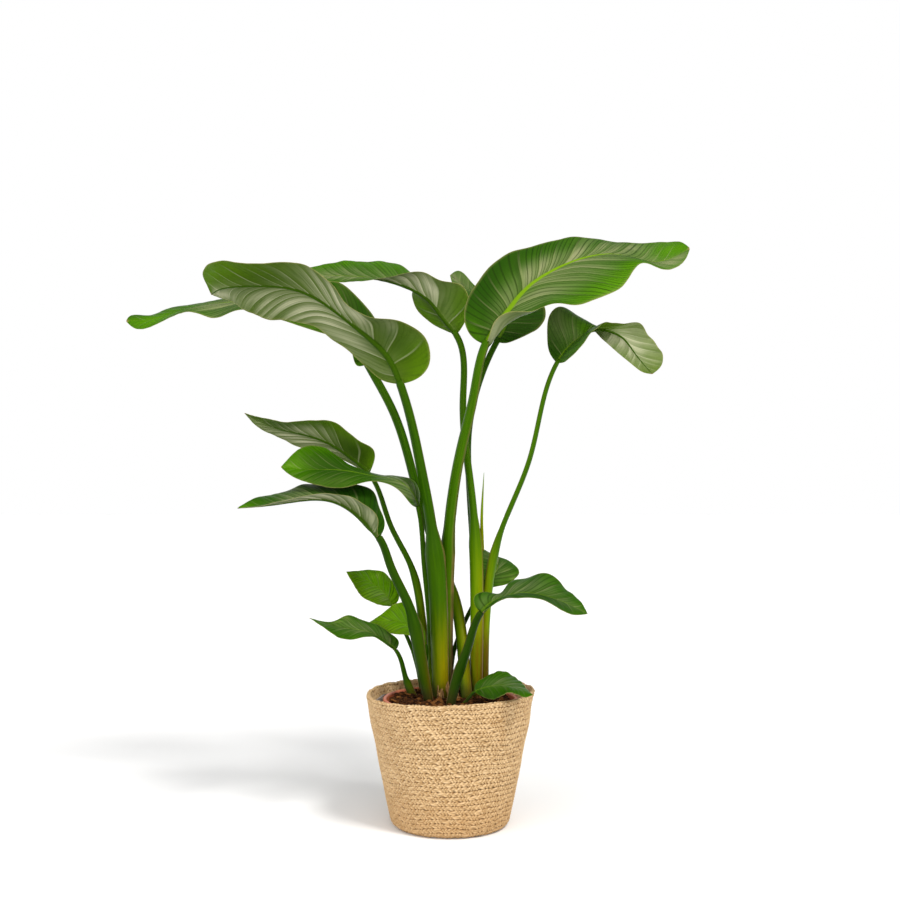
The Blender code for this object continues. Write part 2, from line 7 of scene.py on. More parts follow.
import bmesh
import bpy
import numpy as np
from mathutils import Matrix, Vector


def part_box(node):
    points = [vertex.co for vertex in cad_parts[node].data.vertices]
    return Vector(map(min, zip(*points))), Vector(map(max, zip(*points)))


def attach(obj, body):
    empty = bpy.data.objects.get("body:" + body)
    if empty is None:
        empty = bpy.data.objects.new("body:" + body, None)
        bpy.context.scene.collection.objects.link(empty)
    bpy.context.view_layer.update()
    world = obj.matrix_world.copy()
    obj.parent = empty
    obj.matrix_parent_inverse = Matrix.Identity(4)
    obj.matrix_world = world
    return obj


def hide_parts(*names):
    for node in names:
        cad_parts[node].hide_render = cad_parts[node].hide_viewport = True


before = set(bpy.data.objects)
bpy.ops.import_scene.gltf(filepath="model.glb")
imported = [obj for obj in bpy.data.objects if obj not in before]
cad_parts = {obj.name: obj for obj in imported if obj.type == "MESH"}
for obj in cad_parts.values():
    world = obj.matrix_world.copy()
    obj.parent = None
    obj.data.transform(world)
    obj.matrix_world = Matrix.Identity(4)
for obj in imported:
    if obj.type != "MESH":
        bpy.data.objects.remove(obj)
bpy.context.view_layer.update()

# The leaves as the CAD has them, in millimetres: the stalk from the soil up, the midrib from
# there to the tip, and the two margins between the same ends. widths: stalk at the soil, at the
# top of its sheath, that point's share of the stalk, just above it, and at the blade.
LEAVES = {
    "tall_left": dict(
        widths=(24, 29, 0.46, 16, 12),
        stalk=[(-13, 20, 176), (-15, 20, 259), (-19, 18, 353), (-28, 14, 432), (-41, 9, 504),
            (-56, 4, 576), (-71, 0, 627)],
        rib=[(-91, -5, 668), (-115, -10, 692), (-149, -15, 720), (-211, -25, 757), (-274, -28, 764),
            (-322, -20, 761), (-343, 10, 756)],
        left=[(-50, -3, 633), (-28, -8, 658), (-33, -15, 689), (-73, -30, 714), (-136, -55, 729),
            (-165, -60, 763), (-196, -60, 786), (-277, -60, 792), (-332, -45, 795), (-351, -10, 782)],
        right=[(-96, 10, 632), (-127, 22, 659), (-166, 22, 689), (-205, 16, 715), (-259, 12, 721),
            (-314, 15, 745)]),
    "far_left": dict(
        widths=(17, 17, 0.3, 14, 12),
        stalk=[(24, 10, 178), (18, 40, 249), (7, 69, 311), (-15, 69, 370), (-54, 50, 496),
            (-81, 47, 584), (-121, 55, 659)],
        rib=[(-147, 60, 702), (-185, 65, 737), (-237, 70, 752), (-325, 80, 753), (-393, 85, 743),
            (-441, 88, 729), (-485, 90, 726)],
        left=[(-135, 52, 656), (-147, 50, 687), (-176, 48, 701), (-219, 45, 714), (-275, 46, 733),
            (-313, 48, 738), (-346, 50, 727), (-386, 60, 737), (-430, 70, 721), (-472, 82, 716)],
        right=[(-108, 70, 678), (-113, 80, 732), (-139, 85, 761), (-167, 87, 784), (-195, 90, 783),
            (-247, 90, 777), (-332, 105, 763), (-393, 108, 752), (-426, 109, 746), (-454, 106, 737),
            (-480, 100, 735)]),
    "middle_back": dict(
        widths=(18, 20, 0.42, 11.5, 9),
        stalk=[(38, 30, 185), (39, 35, 315), (35, 40, 431), (29, 45, 489), (19, 50, 606), (9, 55, 702)],
        rib=[(-10, 60, 726), (-27, 65, 749), (-56, 75, 771), (-91, 88, 785), (-141, 110, 795),
            (-188, 135, 800), (-244, 150, 804)],
        left=[(16, 48, 710), (25, 42, 729), (28, 36, 750), (16, 35, 772), (-12, 40, 780),
            (-38, 50, 793), (-72, 60, 792), (-135, 95, 786), (-190, 125, 790)],
        right=[(-12, 75, 713), (-45, 90, 736), (-57, 105, 768), (-53, 120, 793), (-73, 130, 814),
            (-121, 140, 823), (-166, 150, 823), (-212, 155, 816)]),
    "rear": dict(
        widths=(12, 12, 0.3, 10, 9),
        stalk=[(32, 62, 179), (37, 58, 312), (35, 58, 371), (28, 62, 489), (27, 68, 548), (36, 75, 607),
            (70, 95, 695)],
        rib=[(87, 120, 733), (80, 150, 756), (60, 190, 772), (29, 230, 791), (0, 260, 817)],
        left=[(59, 100, 701), (46, 120, 723), (39, 150, 746), (28, 190, 767), (5, 235, 798)],
        right=[(82, 90, 693), (105, 100, 701), (131, 120, 715), (148, 150, 749), (128, 175, 773),
            (98, 195, 782), (64, 220, 785), (39, 235, 798), (11, 255, 823)]),
    "tall_right": dict(
        widths=(21, 23, 0.4, 17, 12),
        stalk=[(-6, 45, 182), (-6, 45, 314), (0, 30, 431), (19, 10, 547), (34, -5, 611),
            (50, -15, 682)],
        rib=[(65, -15, 709), (82, -10, 732), (108, -4, 763), (147, 2, 790), (195, 5, 809),
            (243, 3, 812), (292, -5, 801), (341, -10, 820)],
        left=[(33, -10, 692), (21, -5, 715), (24, 5, 745), (42, 18, 778), (81, 28, 814), (129, 33, 832),
            (195, 36, 842), (271, 30, 833), (330, 10, 832)],
        right=[(55, -30, 692), (64, -45, 714), (86, -55, 726), (115, -50, 726), (151, -45, 739),
            (182, -40, 737), (214, -40, 747), (241, -40, 764), (271, -35, 794), (302, -30, 787),
            (331, -20, 799)]),
    "outer_right": dict(
        widths=(14, 14, 0.42, 8, 7),
        stalk=[(50, 52, 181), (54, 48, 313), (70, 40, 402), (115, 32, 518), (132, 30, 591),
            (155, 30, 659)],
        rib=[(168, 30, 678), (184, 30, 693), (205, 24, 705), (227, 15, 704), (247, 8, 694),
            (263, 2, 673), (288, -5, 641)],
        left=[(146, 40, 673), (143, 55, 702), (148, 65, 734), (163, 70, 745), (184, 70, 736),
            (205, 58, 716), (217, 34, 699), (236, 12, 677), (259, 0, 656), (275, -5, 644)],
        right=[(166, 15, 660), (176, 0, 669), (190, -10, 684), (205, -8, 705), (226, 5, 715),
            (251, 18, 716), (273, 28, 716), (288, 28, 700), (304, 18, 676), (302, 4, 653)]),
    "upper_side": dict(
        widths=(13, 12, 0.5, 9, 7),
        stalk=[(-25, 60, 179), (-41, 60, 281), (-57, 55, 362), (-88, 50, 425), (-118, 45, 498)],
        rib=[(-140, 38, 518), (-171, 30, 540), (-214, 20, 556), (-244, 12, 563), (-294, 0, 586)],
        left=[(-114, 40, 507), (-110, 30, 532), (-130, 20, 546), (-151, 12, 563), (-175, 5, 575),
            (-214, -5, 574), (-261, -10, 577)],
        right=[(-137, 45, 508), (-159, 45, 520), (-190, 40, 527), (-218, 35, 536), (-249, 25, 552),
            (-276, 10, 566)]),
    "middle_side": dict(
        widths=(11, 11, 0.3, 9, 7),
        stalk=[(-26, 38, 183), (-32, 38, 314), (-38, 38, 373), (-46, 30, 449)],
        rib=[(-55, 20, 472), (-72, 10, 487), (-100, 0, 494), (-128, -8, 500), (-163, -18, 505),
            (-195, -22, 505), (-238, -30, 509)],
        left=[(-55, 13, 454), (-69, 0, 472), (-88, -12, 485), (-113, -22, 488), (-138, -30, 482),
            (-168, -35, 480), (-199, -40, 487), (-224, -38, 498)],
        right=[(-44, 35, 463), (-50, 37, 485), (-73, 35, 495), (-108, 20, 498), (-132, 15, 506),
            (-155, 12, 519), (-178, 10, 536), (-198, 4, 540), (-224, -15, 526)]),
    "lower_side": dict(
        widths=(14, 20, 0.45, 15, 11),
        stalk=[(-30, -5, 185), (-43, -5, 244), (-57, -10, 308), (-85, -15, 371), (-100, -20, 409)],
        rib=[(-113, -25, 424), (-127, -30, 439), (-143, -35, 452), (-168, -42, 463), (-209, -50, 463),
            (-248, -60, 457), (-293, -70, 453)],
        left=[(-102, -35, 419), (-100, -45, 435), (-110, -55, 451), (-127, -65, 463), (-151, -70, 471),
            (-181, -75, 473), (-219, -80, 466), (-260, -80, 456)],
        right=[(-94, -5, 422), (-99, 5, 447), (-112, 10, 473), (-135, 10, 484), (-172, 5, 484),
            (-204, -5, 485), (-235, -20, 474), (-269, -45, 467)]),
    "small_upper_left": dict(
        widths=(8, 8, 0.4, 6, 5),
        stalk=[(-40, 60, 172), (-50, 63, 223), (-64, 66, 258), (-84, 66, 302)],
        rib=[(-94, 62, 319), (-107, 56, 332), (-123, 48, 343), (-151, 35, 356)],
        left=[(-93, 58, 303), (-111, 45, 309), (-127, 36, 319), (-141, 30, 339)],
        right=[(-76, 70, 311), (-83, 75, 334), (-99, 70, 352), (-118, 65, 356), (-136, 50, 356)]),
    "small_left": dict(
        widths=(8, 7, 0.3, 6, 5),
        stalk=[(-38, 32, 176), (-38, 28, 214), (-35, 27, 250)],
        rib=[(-51, 30, 270), (-68, 34, 281), (-89, 37, 284), (-109, 34, 281), (-132, 30, 273)],
        left=[(-43, 26, 256), (-61, 26, 265), (-80, 28, 266), (-96, 31, 270), (-116, 30, 273)],
        right=[(-35, 28, 263), (-47, 38, 291), (-61, 46, 309), (-78, 48, 309), (-95, 46, 297),
            (-117, 40, 282)]),
    "low_left": dict(
        widths=(12.5, 11.5, 0.35, 8, 6),
        stalk=[(-52, 30, 170), (-65, 30, 205), (-78, 20, 244)],
        rib=[(-89, 17, 255), (-101, 12, 264), (-120, 0, 274), (-149, -10, 280), (-174, -20, 287),
            (-198, -30, 297)],
        left=[(-86, 10, 249), (-103, -5, 264), (-119, -15, 268), (-141, -25, 265), (-160, -35, 272),
            (-179, -35, 285)],
        right=[(-74, 25, 254), (-87, 22, 269), (-104, 17, 281), (-126, 10, 289), (-147, 0, 297),
            (-165, -12, 290), (-184, -22, 292)]),
    "low_right": dict(
        widths=(13, 16, 0.4, 14, 10),
        stalk=[(0, -38, 175), (14, -35, 227), (25, -35, 257), (43, -36, 305)],
        rib=[(57, -40, 319), (77, -45, 329), (103, -50, 334), (125, -55, 332), (149, -62, 326),
            (189, -75, 308)],
        left=[(37, -32, 312), (34, -25, 327), (49, -20, 332), (71, -20, 331), (86, -15, 346),
            (112, -15, 352), (130, -20, 359), (147, -25, 354), (163, -35, 337), (179, -55, 325)],
        right=[(54, -50, 313), (69, -60, 325), (96, -75, 330), (128, -85, 328), (146, -90, 318),
            (168, -85, 308)]),
    "small_rear": dict(
        widths=(9, 9, 0.3, 7, 6),
        stalk=[(4, 75, 177), (1, 78, 209), (10, 80, 247), (22, 80, 277), (46, 82, 321)],
        rib=[(64, 90, 344), (72, 100, 357), (67, 115, 369), (52, 130, 380), (29, 150, 393)],
        left=[(39, 85, 327), (35, 100, 345), (33, 115, 363), (32, 130, 380)],
        right=[(66, 80, 329), (88, 85, 334), (104, 100, 351), (84, 120, 367), (55, 140, 378)]),
    "rim": dict(
        widths=(6, 6, 0.3, 5, 4),
        stalk=[(18, -34, 177), (25, -38, 184), (34, -42, 195)],
        rib=[(50, -55, 204), (66, -68, 209), (85, -85, 210), (112, -108, 203)],
        left=[(35, -38, 203), (49, -35, 215), (73, -40, 223), (94, -60, 216), (106, -88, 206)],
        right=[(43, -55, 192), (56, -75, 191), (72, -95, 200), (84, -105, 205), (99, -112, 201)]),
}

# How each leaf looks; what a leaf doesn't say is as in PLAIN. facing: degrees from the back,
# towards the right, that the stalk's open side faces. sheath: how far the sheath margins spread.
# gold, golden: how yellow the stalk's foot is, and how far up. shade: how far the stalk is
# darkened by painted shade (1) or fresh (-1), at its foot and at its top. worn, stain: brown on
# the sheath's margin and on the whole foot. tone: the blade, from dark (0) to fresh (1). lime:
# how yellow it is. calm: how plain its pattern is. quilt: how far it is quilted. rib: how light
# the midrib is above. sweep: how far the side veins run towards the tip, left and right. sag: how
# far the right half bulges at its base, middle and tip. glow (bright, painted light shining
# through), pale (painted sheen, and on the underside the waxy bloom) and deep (dark, painted
# shade) are patches of the blade: place along, place across, reach along, reach across, strength.
PLAIN = dict(facing=0, sheath=0.9, gold=0.2, shade=(0.0, 0.0), worn=0.6, stain=0.0, tone=0.3,
             lime=0.0, calm=0.0, quilt=1.0, rib=0.3, sweep=(0.2, 0.2), sag=(0.1, 0.1, 0.1),
             glow=(), pale=(), deep=())
STYLE = {
    "tall_left": dict(
        facing=72, sheath=1.2, gold=1.0, golden=0.34, shade=(-0.2, 0.35), worn=0.35, tone=0.35,
        rib=0.5, sweep=(0.16, 0.3),
        glow=((0.08, -0.85, 0.1, 0.5, 0.9), (0.86, -0.75, 0.17, 0.45, 1.0)),
        pale=((0.48, 0.55, 0.32, 0.5, 0.9), (0.4, -0.55, 0.15, 0.5, 0.95), (0.94, 0.5, 0.08, 0.6, 0.6)),
        deep=((0.16, -0.45, 0.09, 0.4, 0.8), (0.72, -0.25, 0.16, 0.4, 0.6))),
    "far_left": dict(
        facing=60, gold=0.7, shade=(-0.3, 0.2), tone=0.25, rib=0.7, sweep=(0.22, 0.22),
        glow=((0.88, -0.2, 0.15, 0.9, 1.0), (0.3, -0.6, 0.12, 0.6, 0.6)),
        pale=((0.62, -0.1, 0.13, 0.9, 0.9),), deep=((0.12, 0.6, 0.24, 1.2, 1.0),)),
    "middle_back": dict(
        facing=75, sheath=1.0, gold=0.75, shade=(-1.0, -0.2), worn=1.0, stain=0.6, tone=0.45,
        rib=0.5, sweep=(0.18, 0.2),
        glow=((0.09, -0.8, 0.14, 0.6, 1.0), (0.62, 0.85, 0.3, 0.35, 0.7), (0.14, 0.7, 0.2, 0.45, 1.0)),
        pale=((0.3, -0.45, 0.17, 0.55, 1.0), (0.75, -0.15, 0.3, 0.55, 0.9)),
        deep=((0.2, 0.25, 0.16, 0.2, 0.7),)),
    "rear": dict(
        shade=(0.6, 0.4), tone=0.15, rib=0.4, sweep=(0.15, 0.15),
        pale=((0.95, 0.0, 0.25, 1.0, 0.8),), deep=((0.25, 0.6, 0.3, 0.9, 1.0),)),
    "tall_right": dict(
        facing=96, sheath=1.0, gold=0.1, shade=(0.7, -0.25), worn=0.0, tone=0.4, rib=1.0,
        sweep=(0.12, 0.34), sag=(-1.1, 0.1, 0.1),
        glow=((0.6, 0.95, 0.28, 0.3, 1.0), (0.92, -0.5, 0.11, 0.6, 1.0), (0.05, -0.75, 0.06, 0.4, 0.5)),
        pale=((0.46, -0.18, 0.26, 0.26, 1.0), (0.72, -0.45, 0.14, 0.5, 0.8),
              (0.42, 0.3, 0.26, 0.35, 0.85), (0.88, 0.5, 0.1, 0.6, 0.8),
              (0.07, 0.75, 0.1, 0.6, 0.9)),
        deep=((0.22, -0.85, 0.28, 0.45, 1.0), (0.1, -0.4, 0.12, 0.5, 0.6))),
    "outer_right": dict(
        facing=-80, sheath=1.0, gold=0.9, shade=(-1.0, -0.2), worn=1.0, stain=0.9, tone=0.6,
        calm=0.5, quilt=0.3, rib=0.5, sweep=(0.2, 0.25), glow=((0.4, 0.0, 0.13, 1.2, 1.0),),
        pale=((0.68, 0.0, 0.2, 1.3, 0.8), (0.28, -0.5, 0.13, 0.5, 0.8)),
        deep=((0.06, -0.5, 0.15, 0.8, 0.9),)),
    "upper_side": dict(
        facing=70, gold=0.6, shade=(-0.7, 0.2), tone=0.25, rib=0.4, sweep=(0.22, 0.28),
        glow=((0.05, -0.85, 0.07, 0.5, 1.0), (0.35, -0.9, 0.3, 0.25, 0.6)),
        pale=((0.5, 0.6, 0.36, 0.5, 0.9), (0.55, -0.3, 0.16, 0.3, 0.5)),
        deep=((0.2, -0.35, 0.16, 0.45, 0.9), (0.72, -0.4, 0.18, 0.4, 0.6))),
    "middle_side": dict(
        facing=70, gold=0.3, shade=(0.1, 0.1), tone=0.25, rib=0.45, sweep=(0.22, 0.22),
        glow=((0.95, 0.0, 0.12, 0.9, 0.9), (0.6, 0.9, 0.3, 0.25, 0.5)),
        pale=((0.2, 0.0, 0.13, 1.2, 0.8),), deep=((0.66, 0.0, 0.22, 0.7, 0.9),)),
    "lower_side": dict(
        facing=66, sheath=1.1, gold=0.05, shade=(0.8, 0.6), tone=0.1, sweep=(0.18, 0.18),
        glow=((0.97, 0.0, 0.08, 0.9, 0.8),),
        pale=((0.4, -0.6, 0.4, 0.55, 1.0), (0.6, 0.1, 0.13, 0.9, 0.8)),
        deep=((0.3, 0.6, 0.36, 0.6, 1.0),)),
    "small_upper_left": dict(
        tone=0.75, lime=0.35, rib=0.35, glow=((0.5, 0.3, 0.5, 0.8, 0.7),),
        pale=((0.3, -0.3, 0.25, 0.4, 0.4),)),
    "small_left": dict(
        gold=0.3, tone=0.6, lime=0.6, glow=((0.35, 0.2, 0.45, 1.0, 0.9),),
        deep=((0.1, -0.5, 0.2, 0.5, 0.6),)),
    "low_left": dict(
        facing=60, sheath=1.0, gold=0.3, shade=(0.2, 0.2), pale=((0.45, 0.1, 0.4, 0.6, 0.5),),
        deep=((0.1, 0, 0.1, 1, 0.5),)),
    "low_right": dict(
        facing=-70, sheath=1.1, gold=0.0, shade=(1.0, 0.9), worn=0.1, tone=0.2, rib=0.35,
        pale=((0.35, -0.3, 0.3, 0.4, 0.45), (0.8, 0.1, 0.15, 0.4, 0.3)),
        deep=((0.55, 0.4, 0.4, 0.6, 0.7),)),
    "small_rear": dict(
        gold=0.0, shade=(0.8, 0.8), pale=((0.5, 0.0, 0.3, 0.5, 0.5),)),
    "rim": dict(
        facing=-30, gold=0.1, shade=(0.5, 0.5), rib=0.35, pale=((0.5, -0.2, 0.35, 0.4, 0.4),),
        deep=((0.5, 0.8, 0.4, 0.3, 0.4),)),
}
STYLE = {name: {**PLAIN, **style} for name, style in STYLE.items()}


# ---- small tools ---------------------------------------------------------------------------

def smooth(x, lo, hi):
    """0 below lo, 1 above hi, with an even slope at both ends."""
    t = np.clip((np.asarray(x, float) - lo) / (hi - lo), 0, 1)
    return t * t * (3 - 2 * t)


def unit(v):
    return v / np.maximum(np.linalg.norm(v, axis=-1, keepdims=True), 1e-9)


def circle(count):
    """Angles all round, as a row."""
    return np.linspace(0, 2 * math.pi, count, endpoint=False)[None]


def around_axis(radius, turn, z, centre=(0, 0)):
    """Points at a radius and an angle round an upright axis."""
    x, y = centre[0] + radius * np.cos(turn), centre[1] + radius * np.sin(turn)
    return np.stack([x, y, z + 0 * turn], -1)


def chord(points):
    return float(np.linalg.norm(np.diff(np.asarray(points, float), axis=0), axis=1).sum())


def spline(points, at):
    """Natural cubic through the points, taken at shares 0-1 of its chord length."""
    p = np.asarray(points, float)
    k = np.r_[0, np.cumsum(np.linalg.norm(np.diff(p, axis=0), axis=1))]
    h, n = np.diff(k), len(k)
    a, r = np.eye(n), np.zeros_like(p)
    for i in range(1, n - 1):
        a[i, i - 1:i + 2] = h[i - 1], 2 * (h[i - 1] + h[i]), h[i]
        r[i] = 6 * ((p[i + 1] - p[i]) / h[i] - (p[i] - p[i - 1]) / h[i - 1])
    m = np.linalg.solve(a, r)
    t = np.clip(np.asarray(at, float), 0, 1) * k[-1]
    i = np.clip(np.searchsorted(k, t, side="right") - 1, 0, n - 2)
    f = ((k[i + 1] - t) / h[i])[:, None]
    g, s = 1 - f, (h[i] ** 2)[:, None] / 6
    return f * p[i] + g * p[i + 1] + ((f ** 3 - f) * m[i] + (g ** 3 - g) * m[i + 1]) * s


def ripple(x, y, rng, waves, low, high):
    """A smooth random height of about -1 to 1 over two coordinates."""
    total = np.zeros(np.broadcast(x, y).shape)
    for _ in range(waves):
        angle, rate = rng.uniform(0, 2 * math.pi), rng.uniform(low, high)
        phase = rng.uniform(0, 2 * math.pi)
        total += np.sin(rate * (x * math.cos(angle) + y * math.sin(angle)) + phase)
    return total / math.sqrt(waves)


def add_object(name, data):
    obj = bpy.data.objects.new(name, data)
    bpy.context.scene.collection.objects.link(obj)
    return obj


def mesh_piece(name, verts, faces, materials, node, values=None, slots=None):
    """A mesh object that rides on the body and stands for a CAD node.

    values: a number for each vertex, by attribute name. slots: a material index per face.
    """
    mesh = bpy.data.meshes.new(name)
    verts = np.asarray(verts, float).reshape(-1, 3)
    if isinstance(faces, np.ndarray):
        mesh.vertices.add(len(verts))
        mesh.vertices.foreach_set("co", verts.ravel())
        mesh.loops.add(faces.size)
        mesh.loops.foreach_set("vertex_index", faces.ravel())
        mesh.polygons.add(len(faces))
        mesh.polygons.foreach_set("loop_start", np.arange(0, faces.size, faces.shape[1]))
        mesh.update(calc_edges=True)
    else:
        mesh.from_pydata(verts.tolist(), [], faces)
    mesh.polygons.foreach_set("use_smooth", np.ones(len(mesh.polygons), bool))
    for material in materials:
        mesh.materials.append(material)
    if slots is not None:
        mesh.polygons.foreach_set("material_index", np.asarray(slots, np.int32))
    for key, numbers in (values or {}).items():
        layer = mesh.attributes.new(key, "FLOAT", "POINT")
        layer.data.foreach_set("value", np.asarray(numbers, np.float32).ravel())
    mesh.validate()
    obj = add_object(name, mesh)
    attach(obj, "root")
    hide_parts(node)


def grid_faces(rows, columns, wrap=True):
    """Quads between rows of points, each row closed on itself if wrap is set."""
    i = np.arange(rows - 1)[:, None]
    j = np.arange(columns if wrap else columns - 1)[None, :]
    k = (j + 1) % columns
    quads = np.stack(np.broadcast_arrays(i * columns + j, i * columns + k,
                                         (i + 1) * columns + k, (i + 1) * columns + j), -1)
    return quads.reshape(-1, 4)


def capped(rows, columns):
    """Faces of a tube through rings of points, with a fan of quads closing each end."""
    faces = grid_faces(rows, columns).tolist()
    last = (rows - 1) * columns
    for j in range(columns // 2 - 1):
        a, b = j, columns - 1 - j
        faces.append([a + 1, a, b, b - 1])
        faces.append([last + a, last + a + 1, last + b - 1, last + b])
    return faces


# ---- materials -----------------------------------------------------------------------------

NOISE_ROUGHNESS = 0.55
WAX = (1.0, 0.96, 0.30, 1)  # the tint of the leaves' waxy shine


class Shader:
    """A material being built: short calls for the nodes that every material here needs."""

    def __init__(self, name, roughness, **sockets):
        self.material = bpy.data.materials.new(name)
        self.material.use_nodes = True
        self.tree = self.material.node_tree
        self.bsdf = next(n for n in self.tree.nodes if n.type == "BSDF_PRINCIPLED")
        self.output = next(n for n in self.tree.nodes if n.type == "OUTPUT_MATERIAL")
        self.bsdf.inputs["Roughness"].default_value = roughness
        for key, value in sockets.items():
            self.bsdf.inputs[key.replace("_", " ")].default_value = value
        self.place = self.node("TexCoord").outputs["Object"]
        self.colour = None

    def node(self, kind):
        return self.tree.nodes.new("ShaderNode" + kind)

    def put(self, socket, value):
        if isinstance(value, bpy.types.NodeSocket):
            self.tree.links.new(value, socket)
        else:
            socket.default_value = value

    def number(self, name):
        node = self.node("Attribute")
        node.attribute_name = name
        return node.outputs["Fac"]

    def math(self, operation, a, b=0.0, clamp=False):
        node = self.node("Math")
        node.operation, node.use_clamp = operation, clamp
        self.put(node.inputs[0], a)
        self.put(node.inputs[1], b)
        return node.outputs[0]

    def times(self, a, b):
        return self.math("MULTIPLY", a, b)

    def band(self, value, lo, hi, out_lo=0.0, out_hi=1.0):
        """A smooth step of a number from lo-hi to out_lo-out_hi."""
        node = self.node("MapRange")
        node.interpolation_type = "SMOOTHSTEP"
        for key, number in (("Value", value), ("From Min", lo), ("From Max", hi),
                            ("To Min", out_lo), ("To Max", out_hi)):
            self.put(node.inputs[key], number)
        return node.outputs["Result"]

    def mix(self, share, a, b):
        node = self.node("Mix")
        node.data_type = "RGBA"
        colours = [s for s in node.inputs if s.type == "RGBA"]
        self.put(node.inputs["Factor"], share)
        for socket, value in zip(colours, (a, b)):
            self.put(socket, value if isinstance(value, bpy.types.NodeSocket) else (*value, 1))
        return next(s for s in node.outputs if s.type == "RGBA")

    def coat(self, share, colour):
        """Lays one more colour over those already there."""
        self.colour = self.mix(share, self.colour, colour)

    def vector(self, x, y, z=0.0):
        node = self.node("CombineXYZ")
        for socket, value in zip(node.inputs, (x, y, z)):
            self.put(socket, value)
        return node.outputs[0]

    def noise(self, scale, detail=3.0, vector=None, distortion=0.0):
        node = self.node("TexNoise")
        self.put(node.inputs["Vector"], vector or self.place)
        for key, value in (("Scale", scale), ("Detail", detail), ("Roughness", NOISE_ROUGHNESS),
                           ("Distortion", distortion)):
            node.inputs[key].default_value = value
        return node.outputs["Fac"]

    def bump(self, height, distance, strength=1.0):
        node = self.node("Bump")
        node.inputs["Strength"].default_value = strength
        node.inputs["Distance"].default_value = distance
        self.put(node.inputs["Height"], height)
        return node.outputs["Normal"]

    def finish(self, normal=None, roughness=None, glow=None, share=0.3):
        """Links the results; glow adds light that shines through a thin piece."""
        self.put(self.bsdf.inputs["Base Color"], self.colour)
        if normal is not None:
            self.put(self.bsdf.inputs["Normal"], normal)
        if roughness is not None:
            self.put(self.bsdf.inputs["Roughness"], roughness)
        if glow is not None:
            through = self.node("BsdfTranslucent")
            self.put(through.inputs["Color"], glow)
            mixer = self.node("MixShader")
            mixer.inputs[0].default_value = share
            self.put(mixer.inputs[1], self.bsdf.outputs[0])
            self.put(mixer.inputs[2], through.outputs[0])
            self.put(self.output.inputs["Surface"], mixer.outputs[0])
        return self.material


# For each face of a blade: its colours from dark to fresh, in painted deep shade, under the
# painted sheen (on the underside also the waxy bloom) and where painted light shines through;
# those of a thread, a crease's painted shade, a side vein and the midrib; and its strengths.
UPPER_LOOK = dict(
    name="leaf_upper_face", roughness=0.33, shine=0.17, satin=(0.27, 0.40),
    dark=(0.022, 0.096, 0.0004), fresh=(0.060, 0.178, 0.0006), dim=(0.007, 0.052, 0.0003),
    bloom_and_sheen=(0.270, 0.290, 0.135), bright=(0.080, 0.240, 0.0006), thread=(0.005, 0.030, 0.0002),
    crease=(0.006, 0.036, 0.0002), vein=(0.260, 0.320, 0.110), rib=(0.170, 0.330, 0.004),
    rib_key="rib", folded=0.55, threaded=0.72, creased=0.65, veined=(0.30, 0.65))
UNDER_LOOK = dict(
    name="leaf_underside", roughness=0.42, shine=0.12, satin=(0.36, 0.50),
    dark=(0.046, 0.098, 0.003), fresh=(0.085, 0.155, 0.004), dim=(0.018, 0.058, 0.001),
    bloom_and_sheen=(0.610, 0.610, 0.395), bright=(0.075, 0.170, 0.001), thread=(0.040, 0.085, 0.003),
    crease=(0.040, 0.080, 0.003), vein=(0.560, 0.590, 0.350), rib=(0.030, 0.085, 0.0004),
    rib_key="keel", folded=0.70, threaded=0.30, creased=0.45, veined=(0.22, 0.60))
LIME, EDGE, DRY = (0.170, 0.300, 0.0006), (0.40, 0.37, 0.12), (0.30, 0.19, 0.07)
# Light that comes through a blade: where it is plain, bright, on its midrib and in deep shade.
THROUGH = ((0.06, 0.22, 0.0006), (0.26, 0.52, 0.0008), (0.02, 0.05, 0.0005),
           (0.006, 0.035, 0.0003))


